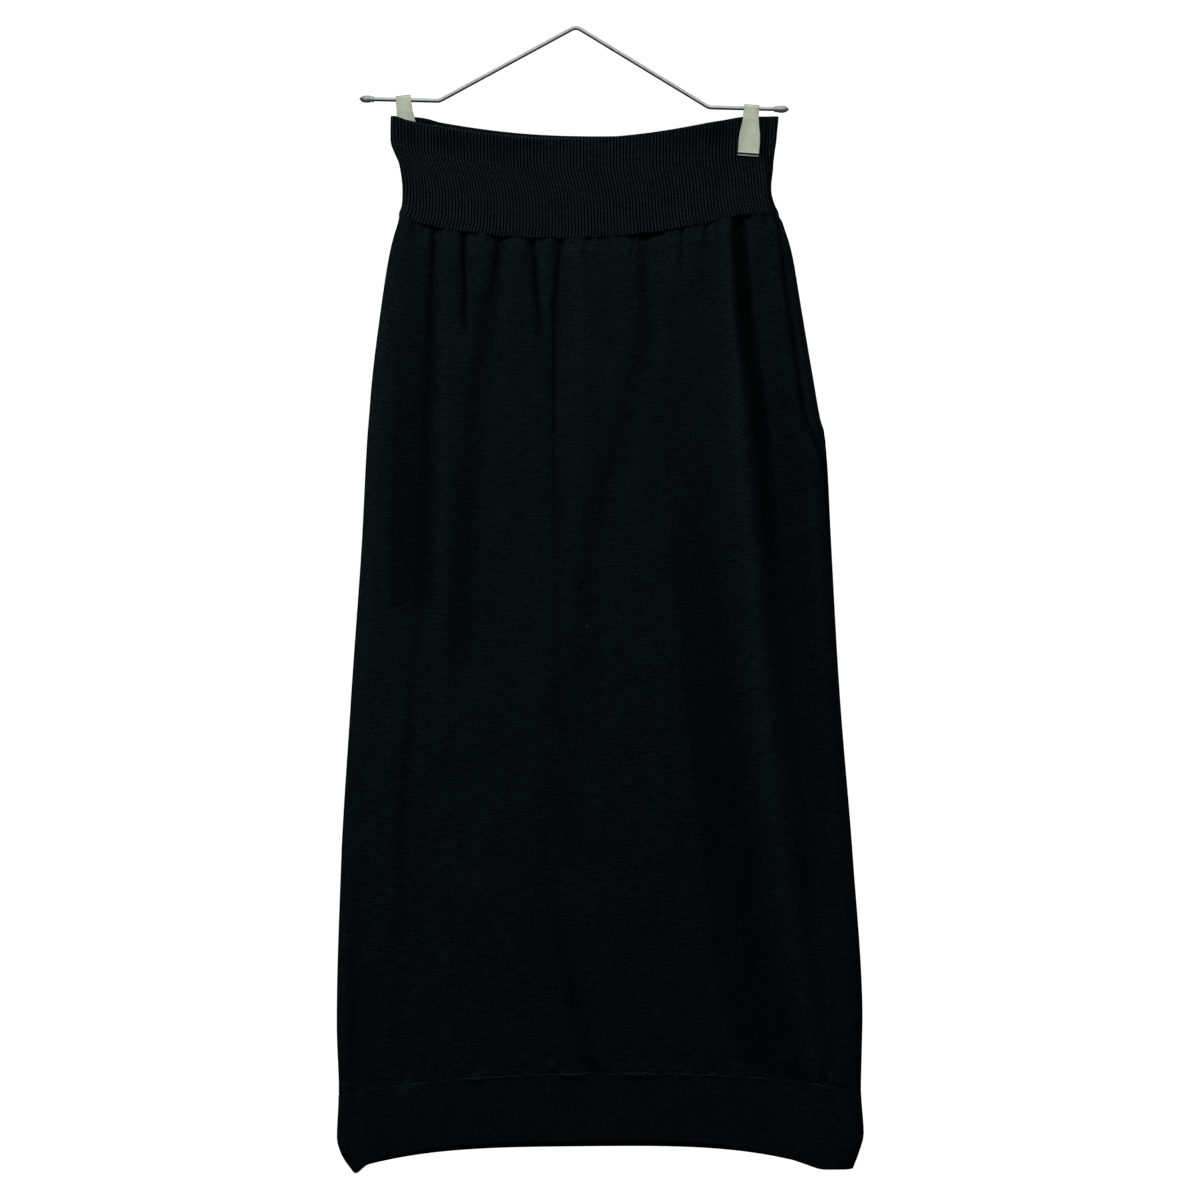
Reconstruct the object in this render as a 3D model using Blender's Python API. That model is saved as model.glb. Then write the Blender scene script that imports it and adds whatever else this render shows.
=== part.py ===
"""A knitted pencil skirt with a ribbed waistband and a ribbed hem, on a wire clip hanger.

Real size in metres, +Z up, the skirt's front facing -Y and its right-hand side, as
seen from the front, at +X. The origin is the hang point, on the underside of the bend
at the hanger's peak. Tables and sizes are in millimetres, and "drop" is the distance
below the hang point.
"""

import math
from collections import namedtuple

import bmesh
import bpy
import numpy as np

MM = 0.001

# Cloth
WALL = 1.8  # the knit with its fuzz, without the ribs
SEAM_GAP = 0.3
RIB_RISE = 0.6
WAIST_RIBS = 118  # on each of the two waistband pieces
RIBS_A_LINING_STEP = 2  # the plain inside has one column for each two ribs

# Heights of the seams and edges at the side folds
WAIST_TOP = 71.4
WAIST_SEAM = 152.6
HEM_SEAM = 876.2
HEM_END = 941.0
HEM_LEAN = 1.8  # the left corner of the hem hangs this much below the middle, the right above

# Hanger
WIRE = 3.4
HANGER_HALF = 171.7  # from the middle to each end of the wire
KNEE_OUT = 111.2
ROOF_FALL = 61.2
PEAK_BEND = 7.0
KNEE_BEND = 9.0
HANGER_LEAN = math.radians(1.4)  # the right arm hangs lower
BEAD_LONG, BEAD_THICK, BEAD_SOCKET = 13.0, 6.1, 7.5
BEAD_COLLAR, BEAD_WIDEST = 0.5, 0.45  # wall at the bead's mouth, and where along it it is widest
SHEET_METAL = 0.9
CLIP_LONG = 42.0
CLIP_TOP_WIDE, CLIP_WIDE, CLIP_FOOT_WIDE = 12.4, 19.0, 18.2
LIP_TALL, LIP_STEP = 2.2, 1.5  # the gripping lip under the plate, and how far it is set back
FIT = 0.3  # left between pieces that touch

# The side folds seen from the front, from the waistband's top to the hem's corners
Outline = namedtuple("Outline", "drop left right")
OUTLINE = [
    Outline(WAIST_TOP, -152.2, 166.8),
    Outline(91.6, -152.6, 165.0),
    Outline(101.5, -149.3, 163.4),
    Outline(111.4, -145.2, 162.5),
    Outline(132.0, -142.7, 160.9),
    Outline(142.7, -143.0, 163.0),
    Outline(WAIST_SEAM, -146.2, 167.6),
    Outline(180.7, -153.6, 177.0),
    Outline(222.8, -160.2, 185.0),
    Outline(288.8, -168.4, 196.2),
    Outline(321.8, -171.0, 201.6),
    Outline(334.0, -172.0, 205.0),
    Outline(420.8, -176.5, 210.2),
    Outline(552.8, -186.0, 218.6),
    Outline(684.8, -194.2, 228.4),
    Outline(816.8, -197.4, 236.2),
    Outline(HEM_SEAM, -195.8, 235.2),
    Outline(912.5, -197.2, 237.4),
    Outline(926.0, -193.4, 234.0),
    Outline(HEM_END, -183.2, 228.4),
]

# The flattened tube from the side: its outer faces in the middle, and its half depth near the folds
Depth = namedtuple("Depth", "drop front back edge")
DEPTHS = [
    Depth(WAIST_TOP, 9.5, 9.0, 4.5),
    Depth(115.0, 11.0, 10.5, 5.0),
    Depth(WAIST_SEAM, 12.0, 11.5, 5.5),
    Depth(166.0, 16.5, 15.0, 7.0),
    Depth(200.0, 19.5, 17.5, 8.0),
    Depth(320.0, 22.5, 20.0, 9.0),
    Depth(520.0, 24.0, 21.0, 9.5),
    Depth(720.0, 22.0, 20.0, 9.0),
    Depth(HEM_SEAM, 17.5, 17.0, 8.0),
    Depth(HEM_END, 14.0, 15.0, 7.0),
]
CROWN_POWER = 2.4
FOLD_ROUNDNESS = 1.3  # radius of a side fold, in half depths near it

# How far a level line hangs below its ends: between the clips at the top, arched up at the hem
Bow = namedtuple("Bow", "drop sag middle span power")
FRONT_BOWS = [
    Bow(WAIST_TOP, 18.9, -9.0, 143.0, 2.0),
    Bow(WAIST_SEAM, 20.0, -11.0, 146.0, 2.2),
    Bow(420.0, 6.0, 10.0, 190.0, 2.2),
    Bow(HEM_SEAM, -18.0, 20.0, 214.0, 2.6),
    Bow(HEM_END, -26.0, 4.0, 196.0, 3.4),
]
BACK_BOWS = [
    Bow(WAIST_TOP, 15.2, 18.0, 148.0, 2.0),
    Bow(WAIST_SEAM, 13.8, 10.0, 150.0, 2.2),
    Bow(420.0, 5.0, 12.0, 190.0, 2.2),
    Bow(HEM_SEAM, -12.8, 20.0, 214.0, 2.6),
    Bow(HEM_END, -18.0, 4.0, 196.0, 3.4),
]
BOW_FADE = 12.0  # every bow ends this close to a side fold
BOW_SOFTNESS = 0.08  # of its sag, where a bow runs out into the level line

# Where the side seams run, along the cloth from the side folds: the right one on the front face,
# the left one on the back
Seam = namedtuple("Seam", "drop right left")
SIDE_SEAMS = [
    Seam(WAIST_TOP, 10.5, 10.0),
    Seam(99.0, 8.5, 9.0),
    Seam(130.0, 3.6, 8.0),
    Seam(162.0, 8.0, 9.0),
    Seam(219.0, 15.0, 12.0),
    Seam(319.0, 17.5, 12.0),
    Seam(372.0, 5.0, 11.0),
    Seam(HEM_END, 4.0, 8.0),
]

# Folds: a positive depth is a trough, a negative one a ridge. The x columns are the fold's place
# at each of FOLD_HEIGHTS, the depth columns its depth at the first, third and last of them.
FOLD_HEIGHTS = (175.0, 320.0, 470.0, 800.0)
Fold = namedtuple("Fold", "end x1 x2 x3 x4 wide wide_low deep deep_mid deep_low")
FRONT_FOLDS = [
    Fold(870, -119, -125, -129, -141, 9.0, 17.0, 9.0, 6.0, 3.0),
    Fold(860, -102, -105, -106, -112, 7.0, 14.0, -1.5, -2.0, -1.0),
    Fold(262, -91, -92, -92, -92, 5.5, 7.0, 5.5, 0.0, 0.0),
    Fold(545, -63, -80, -95, -100, 6.5, 12.0, 8.0, 3.0, 0.0),
    Fold(240, -35, -32, -32, -32, 5.5, 6.0, 4.5, 0.0, 0.0),
    Fold(874, -13, -17, -12, 3, 5.5, 11.0, 7.5, 2.6, 2.0),
    Fold(500, 0, 7, -1, -1, 7.0, 10.0, -2.0, -1.5, 0.0),
    Fold(215, 13, 13, 13, 13, 5.0, 5.0, 2.5, 0.0, 0.0),
    Fold(760, 57, 43, 18, 14, 8.5, 14.0, 5.0, 3.5, 1.5),
    Fold(220, 78, 78, 78, 78, 5.0, 5.0, 2.5, 0.0, 0.0),
    Fold(876, 97, 94, 94, 145, 8.0, 17.0, 3.5, 6.5, 6.5),
    Fold(860, 121, 130, 142, 181, 9.0, 14.0, -3.5, -4.0, -2.5),
    Fold(872, 136, 151, 168, 198, 8.0, 13.0, 13.0, 9.0, 6.0),
]
BACK_FOLDS = [
    Fold(860, -124, -130, -137, -150, 8.0, 16.0, 7.0, 5.5, 3.5),
    Fold(300, -97, -99, -99, -99, 6.0, 8.0, 5.0, 0.0, 0.0),
    Fold(700, -70, -74, -84, -95, 8.0, 14.0, 8.5, 5.0, 1.5),
    Fold(240, -46, -46, -46, -46, 5.5, 6.0, 3.5, 0.0, 0.0),
    Fold(560, -24, -20, -14, -12, 7.0, 12.0, 6.0, 3.0, 0.0),
    Fold(865, 12, 17, 22, 30, 8.0, 15.0, 7.0, 4.0, 3.0),
    Fold(250, 40, 41, 41, 41, 5.5, 6.5, 4.0, 0.0, 0.0),
    Fold(640, 66, 63, 56, 60, 8.0, 14.0, 6.0, 4.5, 1.0),
    Fold(230, 88, 88, 88, 88, 5.5, 6.0, 3.0, 0.0, 0.0),
    Fold(870, 112, 120, 133, 156, 8.5, 16.0, 9.0, 6.5, 5.0),
    Fold(420, 142, 152, 160, 165, 7.0, 10.0, 5.0, 2.0, 0.0),
]
FOLD_START = 9.0  # below the waist seam, where a fold has its whole depth
FOLD_FADE = 45.0  # above a fold's end, where it begins to fade

# Columns and rows of each pair of pieces
WAIST_ROWS = (WAIST_TOP, 93.0, 111.0, 133.0, WAIST_SEAM)
BODY_ROWS = (
    WAIST_SEAM, 159.0, 167.0, 178.0, 196.0, 222.0, 262.0, 318.0, 350.0, 400.0, 475.0, 560.0,
    650.0, 740.0, 815.0, HEM_SEAM,
)  # fmt: skip
HEM_ROWS = (HEM_SEAM, 897.0, 914.0, 928.0, HEM_END)
FRONT_COLUMNS, BACK_COLUMNS = 64, 52
CROWDING = 0.35  # how much closer together the columns of a plain piece are at its ends

# Clips: where each hangs on the bar, its own lean, and the cloth it grips, from y0 to y1
Clip = namedtuple("Clip", "name out lean y0 y1")
RIBBED = WALL + RIB_RISE
RIGHT_CLIP = Clip("clip_right", 146.3, 2.8, -SEAM_GAP / 2 - RIBBED, SEAM_GAP / 2 + RIBBED)
LEFT_CLIP = Clip("clip_left", -140.9, -7.8, -WALL / 2, WALL / 2 + RIB_RISE)
JAW_OUTSIDE = LIP_STEP + SHEET_METAL + FIT  # from the gripped cloth to past the plate's outside

# The tube is drawn in round each clip: the middle of its depth, and its half depth
Pinch = namedtuple("Pinch", "x middle half")
LEFT_FRONT_FACE = LEFT_CLIP.y0 - FIT - JAW_OUTSIDE - FIT - WALL
PINCHES = [
    Pinch(142.5, 0.0, SEAM_GAP / 2 + WALL),
    Pinch(-141.0, (LEFT_FRONT_FACE + WALL / 2) / 2, (WALL / 2 - LEFT_FRONT_FACE) / 2),
]
PINCH_FLAT, PINCH_FADE = 11.5, 24.0  # sideways from the clip's middle line
PINCH_LOW, PINCH_LOW_FADE = 108.0, 40.0  # and down
PINCH_ROUNDNESS = 0.85  # radius of a side fold stretched over a clip, in pinched half depths

KNIT_COLOUR = (0.006, 0.0085, 0.009, 1.0)
STEEL_COLOUR = (0.42, 0.43, 0.38, 1.0)

RING_POINTS = 1441


def eased(rows, drop):
    """Each column after the first of a table, at one or more heights, with no overshoot."""
    table = np.array(rows, float)
    at, values = table[:, 0], table[:, 1:]
    step = np.diff(at)[:, None]
    rise = np.diff(values, axis=0) / step
    slope = np.zeros_like(values)
    turns = rise[:-1] * rise[1:]
    slope[1:-1] = np.where(turns > 0, 2 * turns / np.where(turns > 0, rise[:-1] + rise[1:], 1), 0)
    slope[0], slope[-1] = rise[0], rise[-1]
    drop = np.clip(np.atleast_1d(drop), at[0], at[-1])
    row = np.clip(np.searchsorted(at, drop) - 1, 0, len(at) - 2)
    gap = step[row]
    t = (drop[:, None] - at[row][:, None]) / gap
    return (
        (2 * t**3 - 3 * t**2 + 1) * values[row]
        + (t**3 - 2 * t**2 + t) * gap * slope[row]
        + (3 * t**2 - 2 * t**3) * values[row + 1]
        + (t**3 - t**2) * gap * slope[row + 1]
    )


def ramp(value, low, high):
    """0 below low, 1 above high, and soft between them."""
    t = np.clip((value - low) / (high - low), 0, 1)
    return t * t * (3 - 2 * t)


def sag_at(bows, drop, x):
    sag, middle, span, power = eased(bows, drop)[0]
    share = 1 - np.abs((x - middle) / span) ** power
    return sag * (share + np.hypot(share, BOW_SOFTNESS)) / 2


def troughs(folds, x, drop):
    """How far the folds draw the cloth in at each point."""
    high, _, middle, low = FOLD_HEIGHTS
    depth = np.zeros_like(x)
    for fold in folds:
        path = list(zip(FOLD_HEIGHTS, (fold.x1, fold.x2, fold.x3, fold.x4)))
        widths = [(high, fold.wide), (low, fold.wide_low)]
        depths = [(high, fold.deep), (middle, fold.deep_mid), (low, fold.deep_low)]
        aside = (x - eased(path, drop)[:, 0]) / eased(widths, drop)[:, 0]
        alive = 1 - ramp(drop, fold.end - FOLD_FADE, fold.end)
        depth += np.exp(-(aside**2)) * eased(depths, drop)[:, 0] * alive
    return depth


def pinch_share(x, drop, clip_x):
    sideways = 1 - ramp(np.abs(x - clip_x), PINCH_FLAT, PINCH_FLAT + PINCH_FADE)
    return sideways * (1 - ramp(drop, PINCH_LOW, PINCH_LOW + PINCH_LOW_FADE))


def ring(drop):
    """The outside of the knitted tube at one height: from the left fold across the front to the
    right fold, and back across the back. It gives the way along the cloth, x, y and drop."""
    left, right = eased(OUTLINE, drop)[0]
    front, back, edge = eased(DEPTHS, drop)[0]
    turn = np.linspace(0, 2 * math.pi, RING_POINTS)
    middle, half = (left + right) / 2, (right - left) / 2
    x = middle - half * np.cos(turn)
    side = np.where(turn <= math.pi, -1.0, 1.0)
    aside = np.abs(np.cos(turn))
    inset = half * (1 - aside)

    sag = np.where(side < 0, sag_at(FRONT_BOWS, drop, x), sag_at(BACK_BOWS, drop, x))
    lean = HEM_LEAN * ramp(drop, WAIST_SEAM, HEM_SEAM) * (middle - x) / half
    hang = drop + sag * ramp(inset, 0, BOW_FADE) + lean

    crown = edge + (np.where(side < 0, front, back) - edge) * (1 - aside**CROWN_POWER)
    centre = np.zeros_like(x)
    fold_radius = np.full_like(x, FOLD_ROUNDNESS * edge)
    for pinch in PINCHES:
        share = pinch_share(x, drop, pinch.x)
        centre += share * pinch.middle
        crown += share * (pinch.half - crown)
        fold_radius += share * (PINCH_ROUNDNESS * pinch.half - fold_radius)
    closeness = np.clip(inset / fold_radius, 0, 1)
    rounding = np.sqrt(1 - (1 - closeness) ** 2)

    folds = np.where(side < 0, troughs(FRONT_FOLDS, x, hang), troughs(BACK_FOLDS, x, hang))
    folds *= ramp(drop, WAIST_SEAM, WAIST_SEAM + FOLD_START) * ramp(inset, 0, 2 * edge)
    y = centre + side * (crown * rounding - folds)
    along = np.concatenate([[0], np.cumsum(np.hypot(np.diff(x), np.diff(y)))])
    return along, x, y, hang


def piece_span(side, drop, along):
    """Where the front or the back piece begins and ends, along the cloth."""
    right, left = eased(SIDE_SEAMS, drop)[0]
    right_fold = along[(RING_POINTS - 1) // 2]
    ends = (-left, right_fold - right) if side == "front" else (right_fold - right, along[-1] - left)
    return ends[0] + SEAM_GAP / 2, ends[1] - SEAM_GAP / 2


def wall_row(side, drop, columns, ribs):
    """One row of a piece: its outer points, with the ribs raised, and the inner ones."""
    along, x, y, hang = ring(drop)
    start, end = piece_span(side, drop, along)
    whole = along[-1]
    around = np.concatenate([along[:-1] - whole, along, along[1:] + whole])

    def read(values, at):
        return np.interp(at, around, np.concatenate([values[:-1], values, values[1:]]))

    share = np.linspace(0, 1, columns + 1)
    if not ribs:
        share = share - CROWDING * np.sin(2 * math.pi * share) / (2 * math.pi)
    at = start + (end - start) * share
    reach = 0.5 * min((end - start) / columns, 2.0)
    run_x = read(x, at + reach) - read(x, at - reach)
    run_y = read(y, at + reach) - read(y, at - reach)
    length = np.hypot(run_x, run_y)
    out = np.stack([run_y / length, -run_x / length, np.zeros_like(at)], axis=1)
    base = np.stack([read(x, at), read(y, at), -read(hang, at)], axis=1)
    rise = RIB_RISE * (np.arange(columns + 1) % 2) if ribs else np.zeros(columns + 1)
    return base + out * rise[:, None], base - out * WALL


def cloth_piece(name, side, rows, columns, material, ribs=0):
    """A knitted piece as a closed wall. A ribbed one has a plain inside with fewer columns."""
    drops = list(rows)
    drops[0] += SEAM_GAP / 2
    drops[-1] -= SEAM_GAP / 2
    step = 2 * RIBS_A_LINING_STEP if ribs else 1
    mesh = bmesh.new()
    outer, inner = [], []
    for drop in drops:
        outside, inside = wall_row(side, drop, 2 * ribs or columns, ribs)
        outer.append([mesh.verts.new(point * MM) for point in outside])
        inner.append([mesh.verts.new(point * MM) for point in inside[::step]])
    for upper, lower in zip(outer, outer[1:]):
        for c in range(len(upper) - 1):
            mesh.faces.new((upper[c], lower[c], lower[c + 1], upper[c + 1]))
    for upper, lower in zip(inner, inner[1:]):
        for c in range(len(upper) - 1):
            mesh.faces.new((upper[c], upper[c + 1], lower[c + 1], lower[c]))
        for c in (0, -1):
            row = inner.index(upper)
            mesh.faces.new((outer[row][c], upper[c], lower[c], outer[row + 1][c]))
    for row in (0, -1):
        for c in range(len(inner[row]) - 1):
            edge = outer[row][c * step : (c + 1) * step + 1]
            mesh.faces.new(edge + [inner[row][c + 1], inner[row][c]])
    bmesh.ops.recalc_face_normals(mesh, faces=mesh.faces)
    return finished(name, mesh, material)


def finished(name, mesh, material, parent=None, smooth_angle=math.radians(40)):
    """The object for a bmesh, shaded smooth but for its sharp edges."""
    data = bpy.data.meshes.new(name)
    mesh.to_mesh(data)
    mesh.free()
    data.shade_smooth()
    data.set_sharp_from_angle(angle=smooth_angle)
    obj = bpy.data.objects.new(name, data)
    obj.data.materials.append(material)
    obj.parent = parent
    bpy.context.scene.collection.objects.link(obj)
    return obj


def material(name, colour, roughness, metallic=0.0, sheen=0.0):
    made = bpy.data.materials.new(name)
    made.use_nodes = True
    shader = made.node_tree.nodes["Principled BSDF"]
    shader.inputs["Base Color"].default_value = colour
    shader.inputs["Roughness"].default_value = roughness
    shader.inputs["Metallic"].default_value = metallic
    shader.inputs["Sheen Weight"].default_value = sheen
    made.diffuse_color = colour
    made.roughness = roughness
    made.metallic = metallic
    return made


def bent(points, radii, steps=6):
    """A path through points in the XZ plane, each inner corner rounded to its radius."""
    path = [points[0]]
    for before, corner, after, radius in zip(points, points[1:], points[2:], radii):
        into = np.subtract(corner, before) / math.dist(corner, before)
        away = np.subtract(after, corner) / math.dist(after, corner)
        angle = math.acos(float(np.dot(into, away)))
        cut = radius * math.tan(angle / 2)
        inward = (away - into) / np.linalg.norm(away - into)
        centre = np.array(corner) + inward * radius / math.cos(angle / 2)
        for step in range(steps + 1):
            share = step / steps
            chord = (np.array(corner) - into * cut) * (1 - share) + share * (np.array(corner) + away * cut)
            towards = chord - centre
            path.append(tuple(centre + towards / np.linalg.norm(towards) * radius))
    return path + [points[-1]]


def hanger_wire(parent, steel):
    """One round wire: a bar, a knee, the roof's slope to the peak, and the same the other way."""
    centre = WIRE / 2
    corners = [(-HANGER_HALF, -ROOF_FALL), (-KNEE_OUT, -ROOF_FALL)]
    apex_rise = PEAK_BEND * (1 / math.cos(math.atan2(ROOF_FALL + centre, KNEE_OUT)) - 1)
    peak = (0.0, centre + apex_rise)
    corners += [peak] + [(-x, z) for x, z in reversed(corners)]
    path = bent(corners, (KNEE_BEND, PEAK_BEND, KNEE_BEND))
    curve = bpy.data.curves.new("hanger_wire", "CURVE")
    curve.dimensions = "3D"
    curve.bevel_depth = WIRE / 2 * MM
    curve.bevel_resolution = 2
    curve.use_fill_caps = True
    spline = curve.splines.new("POLY")
    spline.points.add(len(path) - 1)
    for point, (x, z) in zip(spline.points, path):
        point.co = (x * MM, 0.0, z * MM, 1.0)
    curve.materials.append(steel)
    obj = bpy.data.objects.new("hanger_wire", curve)
    obj.parent = parent
    bpy.context.scene.collection.objects.link(obj)


def bead(name, side, parent, steel, sides=12, rings=7):
    """An oval bead pushed over an end of the wire: a turned profile round the wire's axis."""
    bore = WIRE / 2 + FIT
    inner_end = HANGER_HALF - BEAD_SOCKET + FIT
    profile = [(inner_end, bore)] + [
        (inner_end + BEAD_LONG * step / rings, bead_radius(step / rings, bore + BEAD_COLLAR))
        for step in range(rings + 1)
    ]
    profile += [(HANGER_HALF + FIT, 0.0), (HANGER_HALF + FIT, bore)]
    mesh = bmesh.new()
    verts = [mesh.verts.new((x * MM, 0.0, r * MM)) for x, r in profile]
    edges = [mesh.edges.new(pair) for pair in zip(verts, verts[1:] + verts[:1])]
    bmesh.ops.spin(
        mesh,
        geom=verts + edges,
        cent=(0.0, 0.0, 0.0),
        axis=(1.0, 0.0, 0.0),
        angle=2 * math.pi,
        steps=sides,
        use_merge=True,
    )
    bmesh.ops.remove_doubles(mesh, verts=mesh.verts, dist=1e-6)
    if side < 0:
        bmesh.ops.scale(mesh, vec=(-1.0, 1.0, 1.0), verts=mesh.verts)
    bmesh.ops.translate(mesh, vec=(0.0, 0.0, -ROOF_FALL * MM), verts=mesh.verts)
    bmesh.ops.recalc_face_normals(mesh, faces=mesh.faces)
    finished(name, mesh, steel, parent)


def bead_radius(share, collar):
    """The bead's radius along it: a short collar, its widest a little before the middle, a tip."""
    if share < BEAD_WIDEST:
        swell = math.sin(math.pi / 2 * share / BEAD_WIDEST)
        return collar + (BEAD_THICK / 2 - collar) * swell
    past = (share - BEAD_WIDEST) / (1 - BEAD_WIDEST)
    return BEAD_THICK / 2 * math.sqrt(max(1 - past**2, 0.0))


def clip(spec, parent, steel):
    """A bent strip: up the front plate from its gripping lip, over the bar, down to the back lip."""
    lean = math.radians(spec.lean)
    loop = WIRE / 2 + FIT + CLIP_TOP_WIDE / 2 * math.tan(abs(lean))
    foot = -CLIP_LONG + loop
    leg_top = -loop - 4.0

    def leg(face, way):
        lip = face + way * FIT
        plate = lip + way * LIP_STEP
        return [
            (lip, foot),
            (lip, foot + LIP_TALL),
            (plate, foot + LIP_TALL + 0.6),
            (plate, foot + CLIP_LONG * 0.45),
            (lip + way * 0.8 * LIP_STEP, leg_top - 2.5),
        ]

    arc = [math.pi - math.pi * step / 8 for step in range(9)]
    over = [(loop * math.cos(a), loop * math.sin(a)) for a in arc]
    inside = leg(spec.y0, -1) + over + leg(spec.y1, 1)[::-1]
    outside = offset_path(inside, SHEET_METAL)

    def half_width(z):
        widest = -0.66 * CLIP_LONG
        if z > widest:
            share = ramp(z, widest, -0.1 * CLIP_LONG)
            return (CLIP_WIDE + (CLIP_TOP_WIDE - CLIP_WIDE) * share) / 2
        share = (widest - z) / (widest - foot)
        return (CLIP_WIDE + (CLIP_FOOT_WIDE - CLIP_WIDE) * share) / 2

    mesh = bmesh.new()
    loops = []
    for (y_in, z_in), (y_out, z_out) in zip(inside, outside):
        w = half_width(z_in)
        corners = [(-w, y_out, z_out), (w, y_out, z_out), (w, y_in, z_in), (-w, y_in, z_in)]
        loops.append([mesh.verts.new([value * MM for value in corner]) for corner in corners])
    for a, b in zip(loops, loops[1:]):
        for c in range(4):
            mesh.faces.new((a[c], a[(c + 1) % 4], b[(c + 1) % 4], b[c]))
    mesh.faces.new(loops[0][::-1])
    mesh.faces.new(loops[-1])
    bmesh.ops.recalc_face_normals(mesh, faces=mesh.faces)
    obj = finished(spec.name, mesh, steel, parent, math.radians(30))
    obj.location = (spec.out * MM, 0.0, -ROOF_FALL * MM)
    obj.rotation_euler = (0.0, lean, 0.0)


def offset_path(path, distance):
    """The path moved out to its left, mitred at its corners."""
    moved = []
    for i, point in enumerate(path):
        before = np.subtract(point, path[i - 1]) if i else np.subtract(path[1], point)
        after = np.subtract(path[i + 1], point) if i < len(path) - 1 else before
        before, after = before / np.linalg.norm(before), after / np.linalg.norm(after)
        along = (before + after) / np.linalg.norm(before + after)
        left = np.array([-along[1], along[0]])
        stretch = max(float(np.dot(left, (-before[1], before[0]))), 0.5)
        moved.append(tuple(np.array(point) + left * distance / stretch))
    return moved


def main():
    for obj in list(bpy.data.objects):
        bpy.data.objects.remove(obj)
    rib = material("ribbed_knit", KNIT_COLOUR, 0.85, sheen=0.25)
    jersey = material("jersey_knit", KNIT_COLOUR, 0.9, sheen=0.3)
    steel = material("satin_steel", STEEL_COLOUR, 0.35, metallic=1.0)

    for side, columns in (("front", FRONT_COLUMNS), ("back", BACK_COLUMNS)):
        cloth_piece(f"waistband_{side}", side, WAIST_ROWS, 0, rib, ribs=WAIST_RIBS)
        cloth_piece(f"body_{side}", side, BODY_ROWS, columns, jersey)
        cloth_piece(f"hem_{side}", side, HEM_ROWS, columns, rib)

    hanger = bpy.data.objects.new("hanger", None)
    bpy.context.scene.collection.objects.link(hanger)
    hanger.rotation_euler = (0.0, HANGER_LEAN, 0.0)
    hanger_wire(hanger, steel)
    for name, side in (("bead_right", 1), ("bead_left", -1)):
        bead(name, side, hanger, steel)
    for spec in (RIGHT_CLIP, LEFT_CLIP):
        clip(spec, hanger, steel)


main()
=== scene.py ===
"""The looks of a knitted pencil skirt on a wire clip hanger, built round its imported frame.

Real size in metres, +Z up, the skirt's front facing -Y. The origin is the hang point, on the
underside of the bend at the hanger's peak. The cloth's tables and sizes are in millimetres, and
"drop" is the distance below the hang point.
"""

import functools
import math
from collections import namedtuple

import bmesh
import bpy
import numpy as np
from bpy.props import FloatProperty, FloatVectorProperty, IntProperty, PointerProperty
from mathutils import Matrix, Vector


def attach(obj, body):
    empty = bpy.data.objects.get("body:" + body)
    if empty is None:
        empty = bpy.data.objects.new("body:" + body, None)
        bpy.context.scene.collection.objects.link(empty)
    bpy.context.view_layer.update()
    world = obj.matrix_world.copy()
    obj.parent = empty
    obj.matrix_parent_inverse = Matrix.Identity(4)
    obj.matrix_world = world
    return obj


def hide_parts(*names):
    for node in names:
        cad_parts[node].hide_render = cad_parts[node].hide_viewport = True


bl_info = {
    "name": "Knitted pencil skirt on a clip hanger",
    "version": (1, 0, 0),
    "blender": (4, 5, 0),
    "location": "View3D > Sidebar > Skirt",
    "description": "Builds a knitted pencil skirt, its wire clip hanger and a pale studio",
    "category": "Add Mesh",
}

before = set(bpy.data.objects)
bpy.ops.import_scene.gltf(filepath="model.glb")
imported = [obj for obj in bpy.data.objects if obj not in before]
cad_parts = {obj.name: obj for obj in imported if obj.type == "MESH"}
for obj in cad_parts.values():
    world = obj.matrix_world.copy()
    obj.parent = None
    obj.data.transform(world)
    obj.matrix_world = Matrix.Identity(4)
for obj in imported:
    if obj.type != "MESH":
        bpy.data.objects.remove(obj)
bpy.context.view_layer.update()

MM = 0.001
FACES = ("front", "back")

# ---- The cloth's form, from the tables that shaped the solids; the folds are finer here ----

WAIST_TOP = 71.4
WAIST_SEAM = 152.6
HEM_SEAM = 876.2
HEM_END = 941.0
HEM_LEAN = 1.8  # the left corner of the hem hangs this much below the middle
SEAM_WOBBLE, WOBBLE_STEP = 0.7, 4.0  # how far and how often a seam's line wanders

Outline = namedtuple("Outline", "drop left right")
OUTLINE = [
    Outline(WAIST_TOP, -152.2, 166.8),
    Outline(91.6, -152.6, 165.0),
    Outline(101.5, -149.3, 163.4),
    Outline(111.4, -145.2, 162.5),
    Outline(132.0, -142.7, 160.9),
    Outline(142.7, -143.0, 163.0),
    Outline(WAIST_SEAM, -146.2, 167.6),
    Outline(180.7, -153.6, 177.0),
    Outline(222.8, -160.2, 185.0),
    Outline(288.8, -168.4, 196.2),
    Outline(321.8, -171.0, 201.6),
    Outline(334.0, -172.0, 205.0),
    Outline(420.8, -176.5, 210.2),
    Outline(552.8, -186.0, 218.6),
    Outline(684.8, -194.2, 228.4),
    Outline(816.8, -197.4, 236.2),
    Outline(HEM_SEAM, -195.8, 235.2),
    Outline(912.5, -197.2, 237.4),
    Outline(926.0, -193.4, 234.0),
    Outline(HEM_END, -183.2, 228.4),
]

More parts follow.
